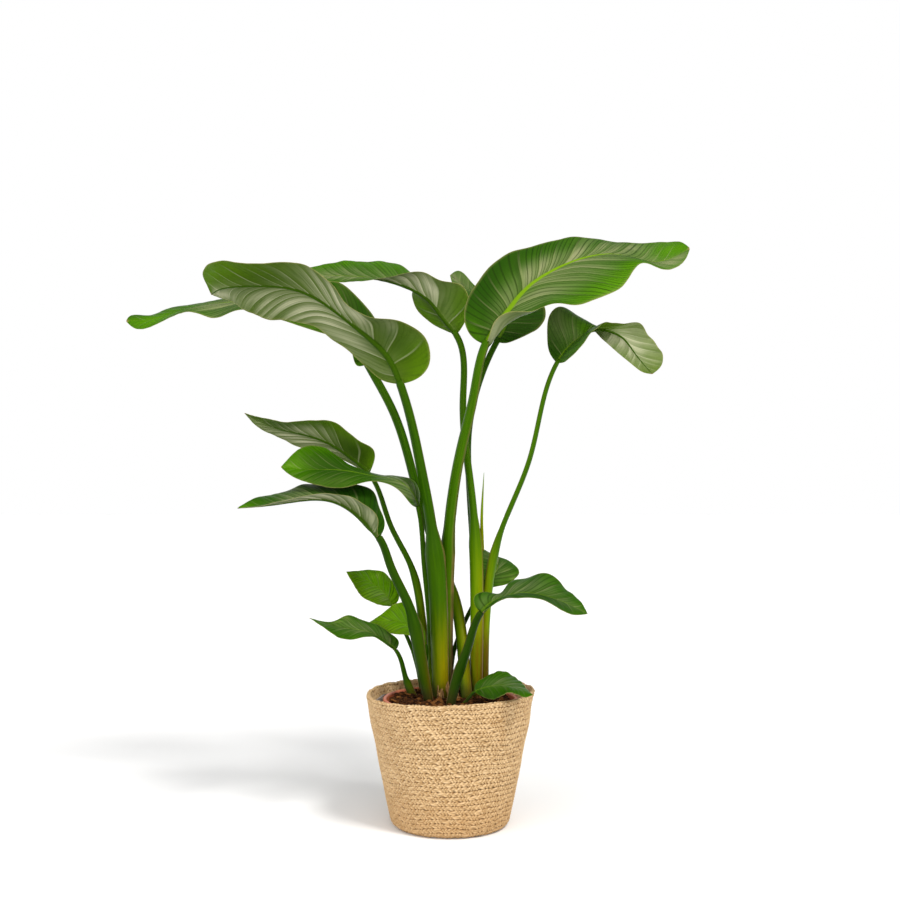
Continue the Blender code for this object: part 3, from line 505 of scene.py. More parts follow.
def leaf_material(look):
    """Either face of a blade. vein counts side veins along the leaf; the rest are 0 to 1."""
    s = Shader(look["name"], look["roughness"], Specular_IOR_Level=look["shine"],
               Specular_Tint=WAX)
    vein, across, deep = s.number("vein"), s.number("across"), s.number("deep")
    pale, glow, leaf = s.number("pale"), s.number("glow"), s.number("leaf")
    far = s.math("ABSOLUTE", across)
    gap = s.math("PINGPONG", vein, 0.5)
    fine = s.math("PINGPONG", s.times(vein, 4.0), 0.5)
    lean = s.math("FRACT", vein)
    stripes = s.noise(1.0, 3.0, s.vector(s.times(vein, 9.0), s.times(across, 1.2), leaf))
    panel = s.noise(1.0, 0.0, s.vector(s.times(vein, 1.3), s.times(across, 1.2), leaf))
    cloud = s.math("SUBTRACT", s.noise(24.0, 2.0), 0.5)
    fresh = s.math("ADD", s.number("tone"), s.times(cloud, 0.7), clamp=True)
    calm = s.band(s.number("calm"), 0.0, 1.0, 1.0, 0.2)

    s.colour = s.mix(fresh, look["dark"], look["fresh"])
    s.coat(s.number("lime"), LIME)
    # Painted shade on the deep patches.
    s.coat(s.times(deep, 0.9), look["dim"])
    # Painted light shining through, on the glow patches.
    s.coat(s.times(glow, 0.85), look["bright"])
    # Painted sheen on the pale patches (on the underside also the waxy bloom). It fades on the folded
    # side of each quilted panel, on glow patches and on deep patches.
    fold = s.times(s.band(lean, 0.10, 0.95, 0.0, look["folded"]), calm)
    bloom_and_sheen = s.times(pale, s.band(panel, 0.35, 0.62, 0.55, 1.0))
    bloom_and_sheen = s.times(bloom_and_sheen, s.math("SUBTRACT", 1.0, fold))
    bloom_and_sheen = s.times(bloom_and_sheen, s.band(glow, 0.1, 0.8, 1.0, 0.15))
    s.coat(s.times(bloom_and_sheen, s.band(deep, 0.2, 1.0, 1.0, 0.35)), look["bloom_and_sheen"])
    s.coat(s.times(s.band(stripes, 0.50, 0.30, 0.0, 0.40), calm), look["dim"])
    s.coat(s.times(s.band(fine, 0.18, 0.03, 0.0, look["threaded"]), calm), look["thread"])
    # Painted shade in the crease beside each side vein.
    crease = s.times(s.band(lean, 0.80, 0.97), s.band(far, 1.0, 0.5, 0.3, 1.0))
    s.coat(s.times(s.times(crease, calm), look["creased"]), look["crease"])
    # Light side-vein lines: the veins' own colour, made stronger where the painted sheen lies.
    line = s.times(s.band(gap, 0.050, 0.020), s.band(far, 1.0, 0.35, 0.12, 1.0))
    s.coat(s.times(line, s.band(pale, 0.0, 0.6, *look["veined"])), look["vein"])
    s.coat(s.number(look["rib_key"]), look["rib"])
    s.coat(s.times(s.number("margin"), s.band(s.noise(55.0), 0.3, 0.5, 0.45, 0.9)), EDGE)
    s.coat(s.number("dry"), DRY)

    height = s.math("ADD", s.times(stripes, 0.7), s.times(fine, 0.9))
    normal = s.bump(s.times(height, calm), 0.0006, 0.5)
    rough = s.math("ADD", s.times(deep, 0.30), s.band(stripes, 0.3, 0.7, *look["satin"]))
    plain, bright, rib, shaded = THROUGH
    light = s.mix(s.number("keel"), s.mix(glow, plain, bright), rib)
    return s.finish(normal, rough, glow=s.mix(deep, light, shaded), share=0.22)


def stem_material():
    """Stalks: long streaks, golden feet and thin brown sheath margins."""
    s = Shader("leaf_stalk", 0.34, Specular_IOR_Level=0.10, Specular_Tint=WAX)
    wing, shade = s.number("wing"), s.number("shade")
    streaks = s.noise(1.0, 4.0, s.vector(s.times(s.number("around"), 750.0),
                                         s.times(s.number("along"), 11.0), s.number("leaf")))
    blotch = s.noise(34.0, 3.0)
    s.colour = s.mix(s.band(streaks, 0.3, 0.7), (0.012, 0.060, 0.0002), (0.034, 0.110, 0.0002))
    s.coat(s.times(wing, 0.85), (0.070, 0.175, 0.0003))
    # Painted shade where shade is above 0, a fresher green where it is below 0.
    s.coat(s.band(shade, 0.0, 1.0, 0.0, 0.9), (0.006, 0.030, 0.0002))
    s.coat(s.band(shade, 0.0, -1.0, 0.0, 0.9), (0.125, 0.300, 0.0003))
    # The foot near the soil is darkened: dirt and painted shade.
    for key, lo, hi, least, most, colour, pattern in (
            ("gold", 0.30, 0.62, 0.5, 1.0, (0.340, 0.265, 0.001), streaks),
            ("worn", 0.30, 0.62, 0.6, 1.0, (0.130, 0.052, 0.0006), streaks),
            ("grey", 0.30, 0.60, 0.3, 0.8, (0.110, 0.120, 0.070), blotch),
            ("dirt_and_shade", 0.30, 0.60, 0.6, 1.0, (0.030, 0.022, 0.006), blotch)):
        s.coat(s.times(s.number(key), s.band(pattern, lo, hi, least, most)), colour)
    s.coat(s.band(s.noise(260.0, 2.0), 0.74, 0.80, 0.0, 0.7), (0.10, 0.05, 0.01))
    rim = s.times(s.number("edge"), s.band(blotch, 0.35, 0.55, 0.55, 1.0))
    s.coat(rim, (0.270, 0.165, 0.060))
    return s.finish(s.bump(streaks, 0.0004, 0.45), s.band(blotch, 0.3, 0.7, 0.28, 0.42),
                    glow=s.mix(wing, (0.03, 0.10, 0.001), (0.28, 0.48, 0.002)), share=0.10)


def braid_material():
    """Braided straw: each strand has its own tone, with fibres along it, a painted highlight
    on its top and painted shade in the hollows between strands.
    """
    s = Shader("braided_straw", 0.8, Specular_IOR_Level=0.3)
    deep = s.number("deep")
    fibre = s.noise(1.0, 4.0, s.vector(s.times(s.number("strand_side"), 1900.0),
                                       s.times(s.number("strand_along"), 190.0),
                                       s.number("strand_id")))
    s.colour = s.mix(s.number("tone"), (0.385, 0.232, 0.094), (0.590, 0.400, 0.205))
    s.coat(s.band(fibre, 0.50, 0.75, 0.0, 0.35), (0.690, 0.510, 0.305))
    s.coat(s.band(fibre, 0.46, 0.25, 0.0, 0.30), (0.300, 0.165, 0.060))
    # Painted highlight on each strand's top.
    s.coat(s.band(deep, 0.14, 0.02, 0.0, 0.45), (0.740, 0.560, 0.345))
    s.coat(s.band(s.noise(30.0, 3.0), 0.58, 0.76, 0.0, 0.40), (0.360, 0.185, 0.055))
    s.coat(s.times(s.number("low"), 0.45), (0.390, 0.215, 0.080))
    # Painted shade in the hollows between strands.
    s.coat(s.band(deep, 0.26, 0.60, 0.0, 0.95), (0.120, 0.058, 0.020))
    s.coat(s.band(s.noise(150.0, 2.0), 0.70, 0.76, 0.0, 0.75), (0.150, 0.070, 0.024))
    s.coat(s.number("knot"), (0.035, 0.016, 0.008))
    return s.finish(s.bump(fibre, 0.0004, 0.45), s.band(fibre, 0.3, 0.7, 0.62, 0.86))


def plastic_material():
    """The nursery pot: terracotta-coloured plastic, scuffed, with a little soil dust."""
    s = Shader("terracotta_plastic", 0.45, Specular_IOR_Level=0.3)
    grain, dust = s.noise(900.0, 2.0), s.noise(42.0, 5.0, distortion=0.6)
    s.colour = s.mix(s.band(dust, 0.3, 0.7), (0.40, 0.098, 0.040), (0.55, 0.150, 0.066))
    s.coat(s.band(dust, 0.58, 0.74, 0.0, 0.55), (0.17, 0.085, 0.045))
    return s.finish(s.bump(grain, 0.0002, 0.4), s.band(dust, 0.35, 0.7, 0.36, 0.62))


def liner_material():
    """The basket's liner: thin greyish film."""
    s = Shader("liner_film", 0.35, Specular_IOR_Level=0.5)
    crease = s.noise(70.0, 4.0, distortion=1.2)
    # Lighter on the raised crinkles and darker in the creases: painted highlight and painted shade.
    s.colour = s.mix(s.band(crease, 0.35, 0.65), (0.14, 0.110, 0.090), (0.38, 0.330, 0.290))
    return s.finish(s.bump(crease, 0.0015, 0.6), s.band(crease, 0.3, 0.7, 0.22, 0.45),
                    glow=(0.55, 0.5, 0.45, 1), share=0.2)


def soil_material():
    """Potting soil: dark and damp, with lighter crumbs."""
    s = Shader("potting_soil", 0.95, Specular_IOR_Level=0.08)
    crumbs = s.node("TexVoronoi")
    s.put(crumbs.inputs["Vector"], s.place)
    crumbs.inputs["Scale"].default_value = 420.0
    grit = s.noise(260.0, 5.0)
    s.colour = s.mix(s.band(grit, 0.35, 0.68), (0.006, 0.002, 0.0008), (0.062, 0.021, 0.005))
    s.coat(s.times(s.number("light"), 0.9), (0.180, 0.070, 0.017))
    height = s.math("ADD", s.times(crumbs.outputs["Distance"], -1.0), grit)
    return s.finish(s.bump(height, 0.0012, 0.8))


def dry_material():
    """Dead sheath tissue: papery tan with brown veins."""
    s = Shader("dried_tissue", 0.85, Specular_IOR_Level=0.25)
    line = s.noise(1.0, 4.0, s.vector(s.times(s.number("around"), 1200.0),
                                      s.times(s.number("along"), 60.0)))
    s.colour = s.mix(s.band(line, 0.3, 0.7), (0.085, 0.036, 0.010), (0.360, 0.205, 0.070))
    s.coat(s.band(s.noise(120.0), 0.5, 0.7), (0.26, 0.13, 0.045))
    return s.finish(s.bump(line, 0.0008, 0.7))


UPPER, UNDER = leaf_material(UPPER_LOOK), leaf_material(UNDER_LOOK)
STALK, BRAID, PLASTIC = stem_material(), braid_material(), plastic_material()
FILM, SOIL, DEAD = liner_material(), soil_material(), dry_material()


# ---- leaves --------------------------------------------------------------------------------

pot_low, pot_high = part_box("nursery_pot")
SOIL_RADIUS = pot_high[0] - 0.006
SOIL_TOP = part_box("soil")[1][2]
SOIL_DOME = 0.009
LONG_BLADE, MIDDLE_BLADE = 0.25, 0.15  # a shorter blade has fewer side veins
FINE_ROWS, COARSE_ROWS = 210, 100
QUILT_HEIGHT, QUILT_LENGTH = 0.0016, 0.34  # the quilting on a blade of that length
BLADE_HALF = 0.00038  # half the thickness beside the midrib
RIB_DIP, RIB_KEEL = 0.30, 0.95  # above and below the blade, over the midrib's radius
STALK_ROW = 0.006  # a ring of the stalk's mesh for each such length
STALK_HALF = 17  # points from margin to margin
STALK_OPENING = 112  # degrees from its back to each margin, and more at the sheath
STALK_SKIN = 0.0005
FOOT_DEPTH = 0.004  # how far the stalk goes into the soil


def soil_height(x, y):
    return SOIL_TOP - SOIL_DOME * np.minimum(1.0, (x * x + y * y) / SOIL_RADIUS ** 2)


def leaf_line(leaf):
    """The whole centre line in metres and the share of it that is stalk."""
    stalk = np.array(leaf["stalk"]) / 1000
    stalk[0, 2] = soil_height(stalk[0, 0], stalk[0, 1])
    line = np.vstack([stalk, np.array(leaf["rib"]) / 1000])
    return line, chord(stalk) / chord(line)


def rib_radius(leaf, u):
    """Half the midrib's width along the blade."""
    return leaf["widths"][4] / 2000 * (0.85 * (1 - u) ** 1.15 + 0.07)


def patches(spots, along, across):
    """The total of a leaf's soft-edged patches, 0 to 1."""
    total = np.zeros(across.shape)
    for u, v, wide, high, strength in spots:
        total += strength * np.exp(-((along - u) / wide) ** 2 - ((across - v) / high) ** 2)
    return np.clip(total, 0, 1)


def both(values):
    """The same values for the far side of a sheet, whose points run back the other way."""
    return {key: np.concatenate([v, v[:, ::-1]], 1) for key, v in values.items()}


def blade_piece(number, name, leaf):
    """A blade: a thin closed sheet, quilted between its side veins, on a raised midrib."""
    style = STYLE[name]
    rng = np.random.default_rng(100 + number)
    length = chord(leaf["rib"]) / 1000
    rows = FINE_ROWS if length > MIDDLE_BLADE else COARSE_ROWS
    count = 14 if length > LONG_BLADE else 11 if length > MIDDLE_BLADE else 8
    u = np.linspace(0.004, 0.9965, rows)
    line, split = leaf_line(leaf)
    at = split + (1 - split) * u
    p = spline(line, at)
    t = unit(spline(line, at + 0.002) - spline(line, at - 0.002))
    base, tip = line[len(leaf["stalk"]) - 1], line[-1]
    radius = rib_radius(leaf, u)

    halves = []
    for side, sign in (("left", -1), ("right", 1)):
        sag = (style if side == "right" else PLAIN)["sag"]
        edge = spline(np.vstack([base, np.array(leaf[side]) / 1000, tip]),
                      u + 0.05 * np.sin(math.pi * u))
        across = (edge - p) * (1 + 0.014 * ripple(u * 46, u * 0, rng, 5, 0.5, 1.5))[:, None]
        edge = p + across
        reach = np.linalg.norm(across, axis=1, keepdims=True)
        up = unit(np.cross(across, t)) * sign
        mid = (p + edge) / 2 + up * np.interp(u, (0, 0.5, 1), sag)[:, None] * reach
        near = np.minimum(np.outer(radius, (0.4, 0.75, 1.0, 1.4)) / np.maximum(reach, 1e-4),
                          (0.07, 0.14, 0.21, 0.28))
        out = np.r_[np.linspace(0, 1, 14)[1:-1], 0.985, 1]
        v = np.hstack([near, near[:, -1:] + (1 - near[:, -1:]) * out])
        s = v[..., None]
        points = p[:, None] * (1 - s) ** 2 + 2 * mid[:, None] * s * (1 - s) + edge[:, None] * s * s
        sweep = style["sweep"][0 if side == "left" else 1]
        run = 0.7 * v + 0.3 * (1 - np.exp(-8 * v))
        vein = count * (u[:, None] - sweep * run * np.sin(math.pi * u)[:, None])
        vein = vein + 0.22 * np.sin(vein * 1.9 + rng.uniform(0, 6)) + rng.uniform(0, 1)
        # The blade is quilted: it bulges between side veins, which lie in narrow creases.
        quilt = np.abs(np.sin(math.pi * vein)) ** 0.75 - 0.6
        size = QUILT_HEIGHT * math.sqrt(length / QUILT_LENGTH) * style["quilt"]
        size = size * (0.75 + 0.25 * np.sin(vein * 0.9 + number))
        window = np.sin(math.pi * np.clip(v * 0.92 + 0.03, 0, 1)) ** 0.7
        quilt = quilt * size * window * smooth(u, 0.01, 0.12)[:, None]
        wave = 0.030 * reach * smooth(v, 0.5, 1.0) * ripple(u[:, None] * 30, v * 0, rng, 5, 0.5, 2.4)
        points = points + up[:, None] * (quilt + wave)[..., None]
        halves.append(dict(points=points, v=sign * v, vein=vein,
                           reach=np.repeat(reach, v.shape[1], 1)))

    left, right = halves
    centre = dict(points=p[:, None], v=np.zeros((rows, 1)), vein=left["vein"][:, :1],
                  reach=left["reach"][:, :1])
    grid, v, vein, reach = (np.concatenate([left[k][:, ::-1], centre[k], right[k]], 1)
                            for k in ("points", "v", "vein", "reach"))
    normal = unit(np.cross(np.gradient(grid, axis=1), np.gradient(grid, axis=0)))
    distance = np.abs(v) * reach
    inside = np.clip(1 - (distance / radius[:, None]) ** 2, 0, 1)
    thick = BLADE_HALF * (1 - 0.55 * np.abs(v))
    top = grid + normal * (thick - RIB_DIP * radius[:, None] * inside)[..., None]
    low = grid - normal * (thick + RIB_KEEL * radius[:, None] * np.sqrt(inside))[..., None]
    columns = grid.shape[1]
    ring = np.concatenate([top, low[:, ::-1]], 1)
    uu = np.repeat(u[:, None], columns, 1)
    full = np.ones(uu.shape)
    values = dict(
        vein=vein, across=v, leaf=full * 7.3 * number, tone=full * style["tone"],
        lime=full * style["lime"], rib=smooth(inside, 0.40, 0.85) * style["rib"],
        keel=smooth(inside, 0.0, 0.45), margin=smooth(np.abs(v), 0.98, 1.0),
        dry=smooth(uu, 0.985, 0.997) * 0.9, calm=np.maximum(smooth(uu, 0.72, 0.94), style["calm"]))
    # Patches of painted light shining through (glow), painted sheen with the underside's waxy bloom
    # (pale) and painted shade (deep).
    for key in ("glow", "pale", "deep"):
        values[key] = patches(style[key], uu, v)
    n = ring.shape[1]
    faces = capped(rows, n)
    ring_slots = [0 if j < columns - 1 else 1 for j in range(n)]
    slots = ring_slots * (rows - 1) + [1] * (len(faces) - (rows - 1) * n)
    mesh_piece(name + "_blade", ring, faces, [UPPER, UNDER], name + "_leaf", both(values), slots)


def stem_piece(number, name, leaf):
    """The stalk: an open channel above, a wide clasping sheath with thin margins below."""
    style = STYLE[name]
    line, split = leaf_line(leaf)
    length = chord(line) * split
    rows = max(16, int(length / STALK_ROW))
    f = np.r_[np.linspace(0, 1, rows), 1.012]
    at = np.clip(split * f, 0, 1)
    p = spline(line, at)
    t = unit(spline(line, at + 0.002) - spline(line, at - 0.002))
    a, b, share, c, d = leaf["widths"]
    width = np.interp(f, (0, share * 0.5, share, share + 0.08, 1), (a, (a + b) / 2, b, c, d)) / 1000
    width[-1] *= 0.8
    way = math.radians(style["facing"])
    groove = np.array([math.sin(way), math.cos(way), 0])
    g = unit(groove - (t @ groove)[:, None] * t)
    r = np.cross(t, g)
    sheath = 1 - smooth(f, share - 0.06, share + 0.07)
    turn = np.linspace(-1, 1, STALK_HALF)[None]
    angle = turn * np.radians(STALK_OPENING + 22 * sheath * style["sheath"])[:, None]
    out = np.sin(angle)[..., None] * r[:, None] - 0.9 * np.cos(angle)[..., None] * g[:, None]
    # The section is set to its width as the stalk's broad side shows it.
    broad = unit(np.cross(t, np.array([0.0, 1.0, 0.0])))
    seen = (out * broad[:, None]).sum(-1)
    scale = width / np.ptp(seen, axis=1)
    shift = -(seen.max(1) + seen.min(1)) / 2
    outer = p[:, None] + scale[:, None, None] * (out + (shift[:, None] * broad)[:, None])
    core = (1 - np.abs(turn) ** 2.4) * (1.25 - 0.75 * sheath[:, None])
    skin = scale[:, None] * core * 0.9 + STALK_SKIN
    inner = outer - skin[..., None] * unit(out)
    ring = np.concatenate([outer, inner[:, ::-1]], 1)
    ring[0, :, 2] = soil_height(ring[0, :, 0], ring[0, :, 1]) - FOOT_DEPTH

    ff = np.repeat(f[:, None], STALK_HALF, 1)
    turns = np.repeat(turn, len(f), 0)
    side = turns * (-1 if style["facing"] >= 0 else 1)
    low = 1 - smooth(ff, 0.0, style.get("golden", share + 0.12))
    wing = smooth(side, -0.5, 0.75) * (0.12 + 0.88 * sheath[:, None])
    foot, top = style["shade"]
    margin = style["worn"] * low ** 2 * smooth(side, 0.30, 0.95)
    stain = style["stain"] * smooth(low, 0.60, 0.88) * smooth(side, -1.0, -0.2)
    values = dict(
        along=ff * length, around=turns * 0.012, leaf=np.full(ff.shape, 3.1 * number),
        wing=wing * (0.45 + 0.55 * low), gold=style["gold"] * low * smooth(side, -0.15, 0.85),
        worn=np.maximum(margin, stain), shade=top + (foot - top) * low,
        # Painted shade and dirt on the foot, near the soil.
        dirt_and_shade=0.8 * (1 - smooth(ff * length, 0.006, 0.030)),
        grey=(1 - smooth(ff * length, 0.0, 0.05)) * (1 - smooth(side, -0.6, 0.6)),
        edge=smooth(np.abs(turns), 0.92, 0.99) * (0.35 + 0.65 * sheath[:, None]))
    mesh_piece(name + "_stalk", ring, capped(len(f), ring.shape[1]), [STALK], name + "_stem",
               both(values))


# ---- basket --------------------------------------------------------------------------------

basket_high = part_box("basket")[1]
BASKET_RADIUS, BASKET_TOP = basket_high[0], basket_high[2]
BASKET_PROFILE = ((0.0, 0.072), (0.0015, 0.078), (0.006, 0.0835), (0.016, 0.0868), (0.04, 0.092),
                  (0.11, 0.105), (0.165, 0.115), (BASKET_TOP, BASKET_RADIUS))  # height, radius
WALL = 0.0065
RELIEF, INNER_RELIEF = 0.0036, 0.0028  # how far the braid stands out, outside and inside
BAND = 0.058  # height of each mesh that the wall's outside is made of
FOOT = 0.012  # the wall's rounded lower edge
BAND_ROWS = 94
BRAID_SEED = 5
# Dark knots in the straw: angle, height and size.
KNOTS = ((-1.60, 0.107, 0.0026), (-1.545, 0.112, 0.0020), (-1.50, 0.1115, 0.002),
         (-1.66, 0.0985, 0.0026), (-1.535, 0.1165, 0.0014), (-1.44, 0.121, 0.001))
ROW = 0.0067  # one braid's width, rim to foot
LAY = 0.0185  # a strand's run before it is back on the same side of its braid


def basket_radius(z):
    """Outside radius of the basket at a height."""
    return np.interp(z, *zip(*BASKET_PROFILE))


def braid(path, turn, radius):
    """Height (0-1) and strand numbers of a three-strand braid in closed rows.

    path: distance across the rows; turn: angle; radius: of the row there.
    """
    rng = np.random.default_rng(BRAID_SEED)
    sway = 0.0020 * np.sin(2 * turn + 1.0) + 0.0012 * np.sin(5 * turn + path * 40)
    sway += 0.0008 * ripple(turn * 11, path * 110, rng, 6, 0.6, 1.6)
    q = (path + sway) / ROW
    row = np.floor(q).astype(int)
    t = q - row - 0.5
    rows = row.max() - row.min() + 3
    start = rng.uniform(0, 1, rows)[row - row.min()]
    pull = rng.uniform(0.92, 1.08, rows)[row - row.min()]
    runs = np.maximum(8, np.round(2 * math.pi * radius * pull / LAY))
    jitter = 0.09 * np.sin(turn * 17 + row * 2.1) + 0.08 * np.sin(turn * 31 + row * 1.3)
    phase = runs * turn / (2 * math.pi) + start + jitter * smooth(radius, 0.02, 0.05)
    best = np.full(t.shape, -9.0)
    out = {k: np.zeros(t.shape) for k in ("strand", "side", "along", "segment")}
    for i in range(3):
        angle = 2 * math.pi * (phase + i / 3)
        centre = 0.32 * np.sin(angle)
        lift = 0.30 * np.sin(2 * angle)
        slope = 0.32 * 2 * math.pi / LAY * np.cos(angle) * ROW
        away = (t - centre) / np.sqrt(1 + slope ** 2) / 0.25
        body = np.sqrt(np.clip(1 - away ** 2, 0, None)) * 0.75 + lift
        body = np.where(np.abs(away) > 1, -1.0 + 0 * body, body)
        over = body > best
        best = np.where(over, body, best)
        segment = np.floor(2 * (phase + i / 3) + 0.25)
        for key, value in (("strand", i + 0 * t), ("side", away * 0.0018), ("along", phase * LAY),
                           ("segment", segment)):
            out[key] = np.where(over, value, out[key])
    height = np.clip((best + 0.35) / 1.40, 0, 1)
    return height, row, out


def braid_tone(row, out):
    """A repeatable random tone, 0-1, for every visible stretch of strand."""
    key = row * 131.7 + out["strand"] * 57.3 + out["segment"] * 17.9 + BRAID_SEED
    return np.modf(np.abs(np.sin(key) * 43758.5453))[0]


def basket_piece(name, profile, around, relief, knots=()):
    """A band of braid round the basket. profile: radius, height, outward direction and path."""
    r, z, nr, nz, path = (np.array(c)[:, None] for c in zip(*profile))
    turn = circle(around)
    height, row, out = braid(path + 0 * turn, turn + 0 * path, np.maximum(r, 0.01) + 0 * turn)
    push = relief * (height - 0.75)
    rng = np.random.default_rng(7)
    high = smooth(z, 0.02, BASKET_TOP)
    wobble = 0.0014 * np.sin(2 * turn + 0.6) + 0.0010 * np.sin(3 * turn + 2.0)
    wobble = wobble * high + 0.0010 * ripple(turn * 6, z * 90, rng, 7, 0.5, 1.6) * high
    radius = r + nr * push + wobble
    level = z + nz * push + high * (0.0022 * np.cos(turn) + 0.0006 * np.sin(3 * turn))
    level = level + 0.0006 * ripple(turn * 24, 0 * z, rng, 5, 0.6, 1.5) * smooth(z, 0.14, 0.19)
    verts = around_axis(radius, turn, level)
    dark = np.zeros(height.shape)
    for angle, at, size in knots:
        gap = np.hypot((turn - angle) * 0.11, level - at)
        dark = np.maximum(dark, 1 - smooth(gap, size * 0.5, size))
    values = dict(tone=braid_tone(row, out), deep=1 - height, strand_side=out["side"],
                  strand_along=out["along"], strand_id=row * 3.0 + out["strand"],
                  knot=dark * smooth(height, 0.1, 0.5) * 0.9,
                  low=1 - smooth(z, 0.0, 0.10) + 0 * turn)
    mesh_piece(name, verts, grid_faces(len(profile), around), [BRAID], "basket", values)


def build_basket():
    """The wall's outside in three bands, and the rim, inside and floor in a fourth."""
    def outside(heights):
        return [(float(basket_radius(z)) - 0.0006, z, 0.98, -0.15, z) for z in heights]

    low, middle = FOOT + BAND, FOOT + 2 * BAND
    top = BASKET_TOP - 0.0045
    corner = []
    for step in np.linspace(0, 1, 30):
        z = float(FOOT * step)
        corner.append((float(basket_radius(z)), z, math.sin(step * math.pi / 2),
                       -math.cos(step * math.pi / 2), z))
    under = [(float(r), 0.0012, 0.0, -1.0, float(r) - 0.072) for r in np.linspace(0.003, 0.0715, 30)]
    start = under + corner + outside(np.linspace(FOOT, low, BAND_ROWS)[1:])
    for name, profile, around in (
            ("basket_braid_lower", start, 640),
            ("basket_braid_middle", outside(np.linspace(low, middle, BAND_ROWS)), 980),
            ("basket_braid_upper", outside(np.linspace(middle, top, BAND_ROWS)), 1040)):
        basket_piece(name, profile, around, RELIEF, KNOTS)
    rim = []
    for step in np.linspace(0, 1, 22):
        a = math.pi * step
        r = float(basket_radius(top)) - WALL / 2 + (WALL / 2 - 0.0004) * math.cos(a)
        rim.append((r, top + 0.0036 * math.sin(a), math.cos(a), math.sin(a), top + 0.009 * step))
    inside = [(float(basket_radius(z)) - WALL + 0.0004, z, -1.0, 0.1, 2 * top + 0.009 - z)
              for z in np.linspace(top, 0.016, 120)[1:]]
    floor = [(float(r), 0.0065, 0.0, 1.0, float(r)) for r in np.linspace(0.0785, 0.003, 20)]
    basket_piece("basket_braid_inside", rim + inside + floor, 560, INNER_RELIEF)


# ---- liner, pot and soil -------------------------------------------------------------------

def turned(profile, around, uneven=0.0):
    """Rings of points for (radius, z) pairs; uneven: how far the rim is out of round."""
    r, z = (np.array(c)[:, None] for c in zip(*profile))
    turn = circle(around)
    out = r + uneven * np.sin(3 * turn + 1) * smooth(z, 0.1, 0.18) * smooth(r, 0.05, 0.09)
    return around_axis(out, turn, z)


LINER_AROUND, LINER_FOOT, LINER_THICKNESS = 360, 0.0085, 0.0004
POT_AROUND, POT_COLLAR, POT_FOOT_RADIUS = 160, 0.014, 0.0702
POT_UNDER_COLLAR, POT_MOUTH = 0.0915, 0.0895  # radii below the collar, outside and inside


def build_liner():
    """Thin film inside the basket: creased, highest at the left and slipped down at the back."""
    rng = np.random.default_rng(21)
    around = LINER_AROUND
    z = np.linspace(LINER_FOOT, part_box("basket_liner")[1][2] - 0.001, 70)[:, None]
    turn = circle(around)
    wall = basket_radius(z) - WALL - 0.0018
    fold = 0.0011 * ripple(turn * 22, z * 40, rng, 7, 0.5, 1.7)
    fold += 0.0022 * smooth(z, 0.12, 0.178) * (ripple(turn * 9, z * 25, rng, 5, 0.6, 1.6) - 1.2)
    radius = np.minimum(wall + fold, wall + 0.0006)
    lip = 0.0024 * (ripple(turn * 7, 0 * turn, rng, 4, 0.6, 1.8) - 0.6) * smooth(z, 0.15, 0.178)
    lip = lip - 0.011 * smooth(np.cos(turn - 1.25), 0.0, 0.7) * smooth(z, 0.12, 0.178)
    film = around_axis(radius, turn, z + lip)
    back = film.copy()
    back[..., :2] *= 1 - LINER_THICKNESS / radius[..., None]
    closed = np.concatenate([film, back[::-1]])
    faces = grid_faces(len(closed), around)
    last = (len(closed) - 1) * around
    j = np.arange(around)
    seam = np.stack([last + j, last + (j + 1) % around, (j + 1) % around, j], -1)
    mesh_piece("liner_film", closed, np.concatenate([faces, seam]), [FILM], "basket_liner")


def build_pot():
    """The nursery pot: a tapered wall, a straight collar and a rolled rim."""
    rim, top = pot_high[0], pot_high[2]
    collar, foot = top - POT_COLLAR, pot_low[2]
    outer = [(0.002, foot), (0.066, foot), (0.0695, foot + 0.0008), (POT_FOOT_RADIUS, foot + 0.004)]
    outer += [(POT_FOOT_RADIUS + (POT_UNDER_COLLAR - POT_FOOT_RADIUS) * s,
               foot + 0.004 + (collar - foot - 0.007) * s) for s in np.linspace(0.02, 1, 24)]
    outer += [(rim - 0.0020, collar - 0.0010), (rim - 0.0008, collar), (rim - 0.0004, collar + 0.003),
              (rim - 0.0002, top - 0.005)]
    roll = [(rim - 0.0028 + 0.0027 * math.cos(a), top - 0.0027 + 0.0026 * math.sin(a))
            for a in np.linspace(0, math.pi, 12)]
    inner = [(rim - 0.0056, top - 0.0045), (rim - 0.0062, top - 0.008), (POT_MOUTH, collar - 0.004)]
    inner += [(POT_MOUTH - 0.0215 * s, collar - 0.004 - (collar - 0.008 - foot) * s)
              for s in np.linspace(0.1, 1, 12)]
    inner += [(0.002, foot + 0.002)]
    rings = turned(outer + roll + inner, POT_AROUND, 0.0005)
    mesh_piece("terracotta_pot", rings, capped(len(rings), POT_AROUND), [PLASTIC], "nursery_pot")


CRUMBS, CRUMB_REACH = 900, 0.0875
SOIL_AROUND = 220
SOIL_EDGE = 0.0885  # its radius at the top


def ground(x, y):
    """Height of the loose top of the soil: nearly level, a little below the pot's rim."""
    return soil_height(x, y) + 0.0008 + 0.0070 * smooth(np.hypot(x, y), 0.03, 0.082)


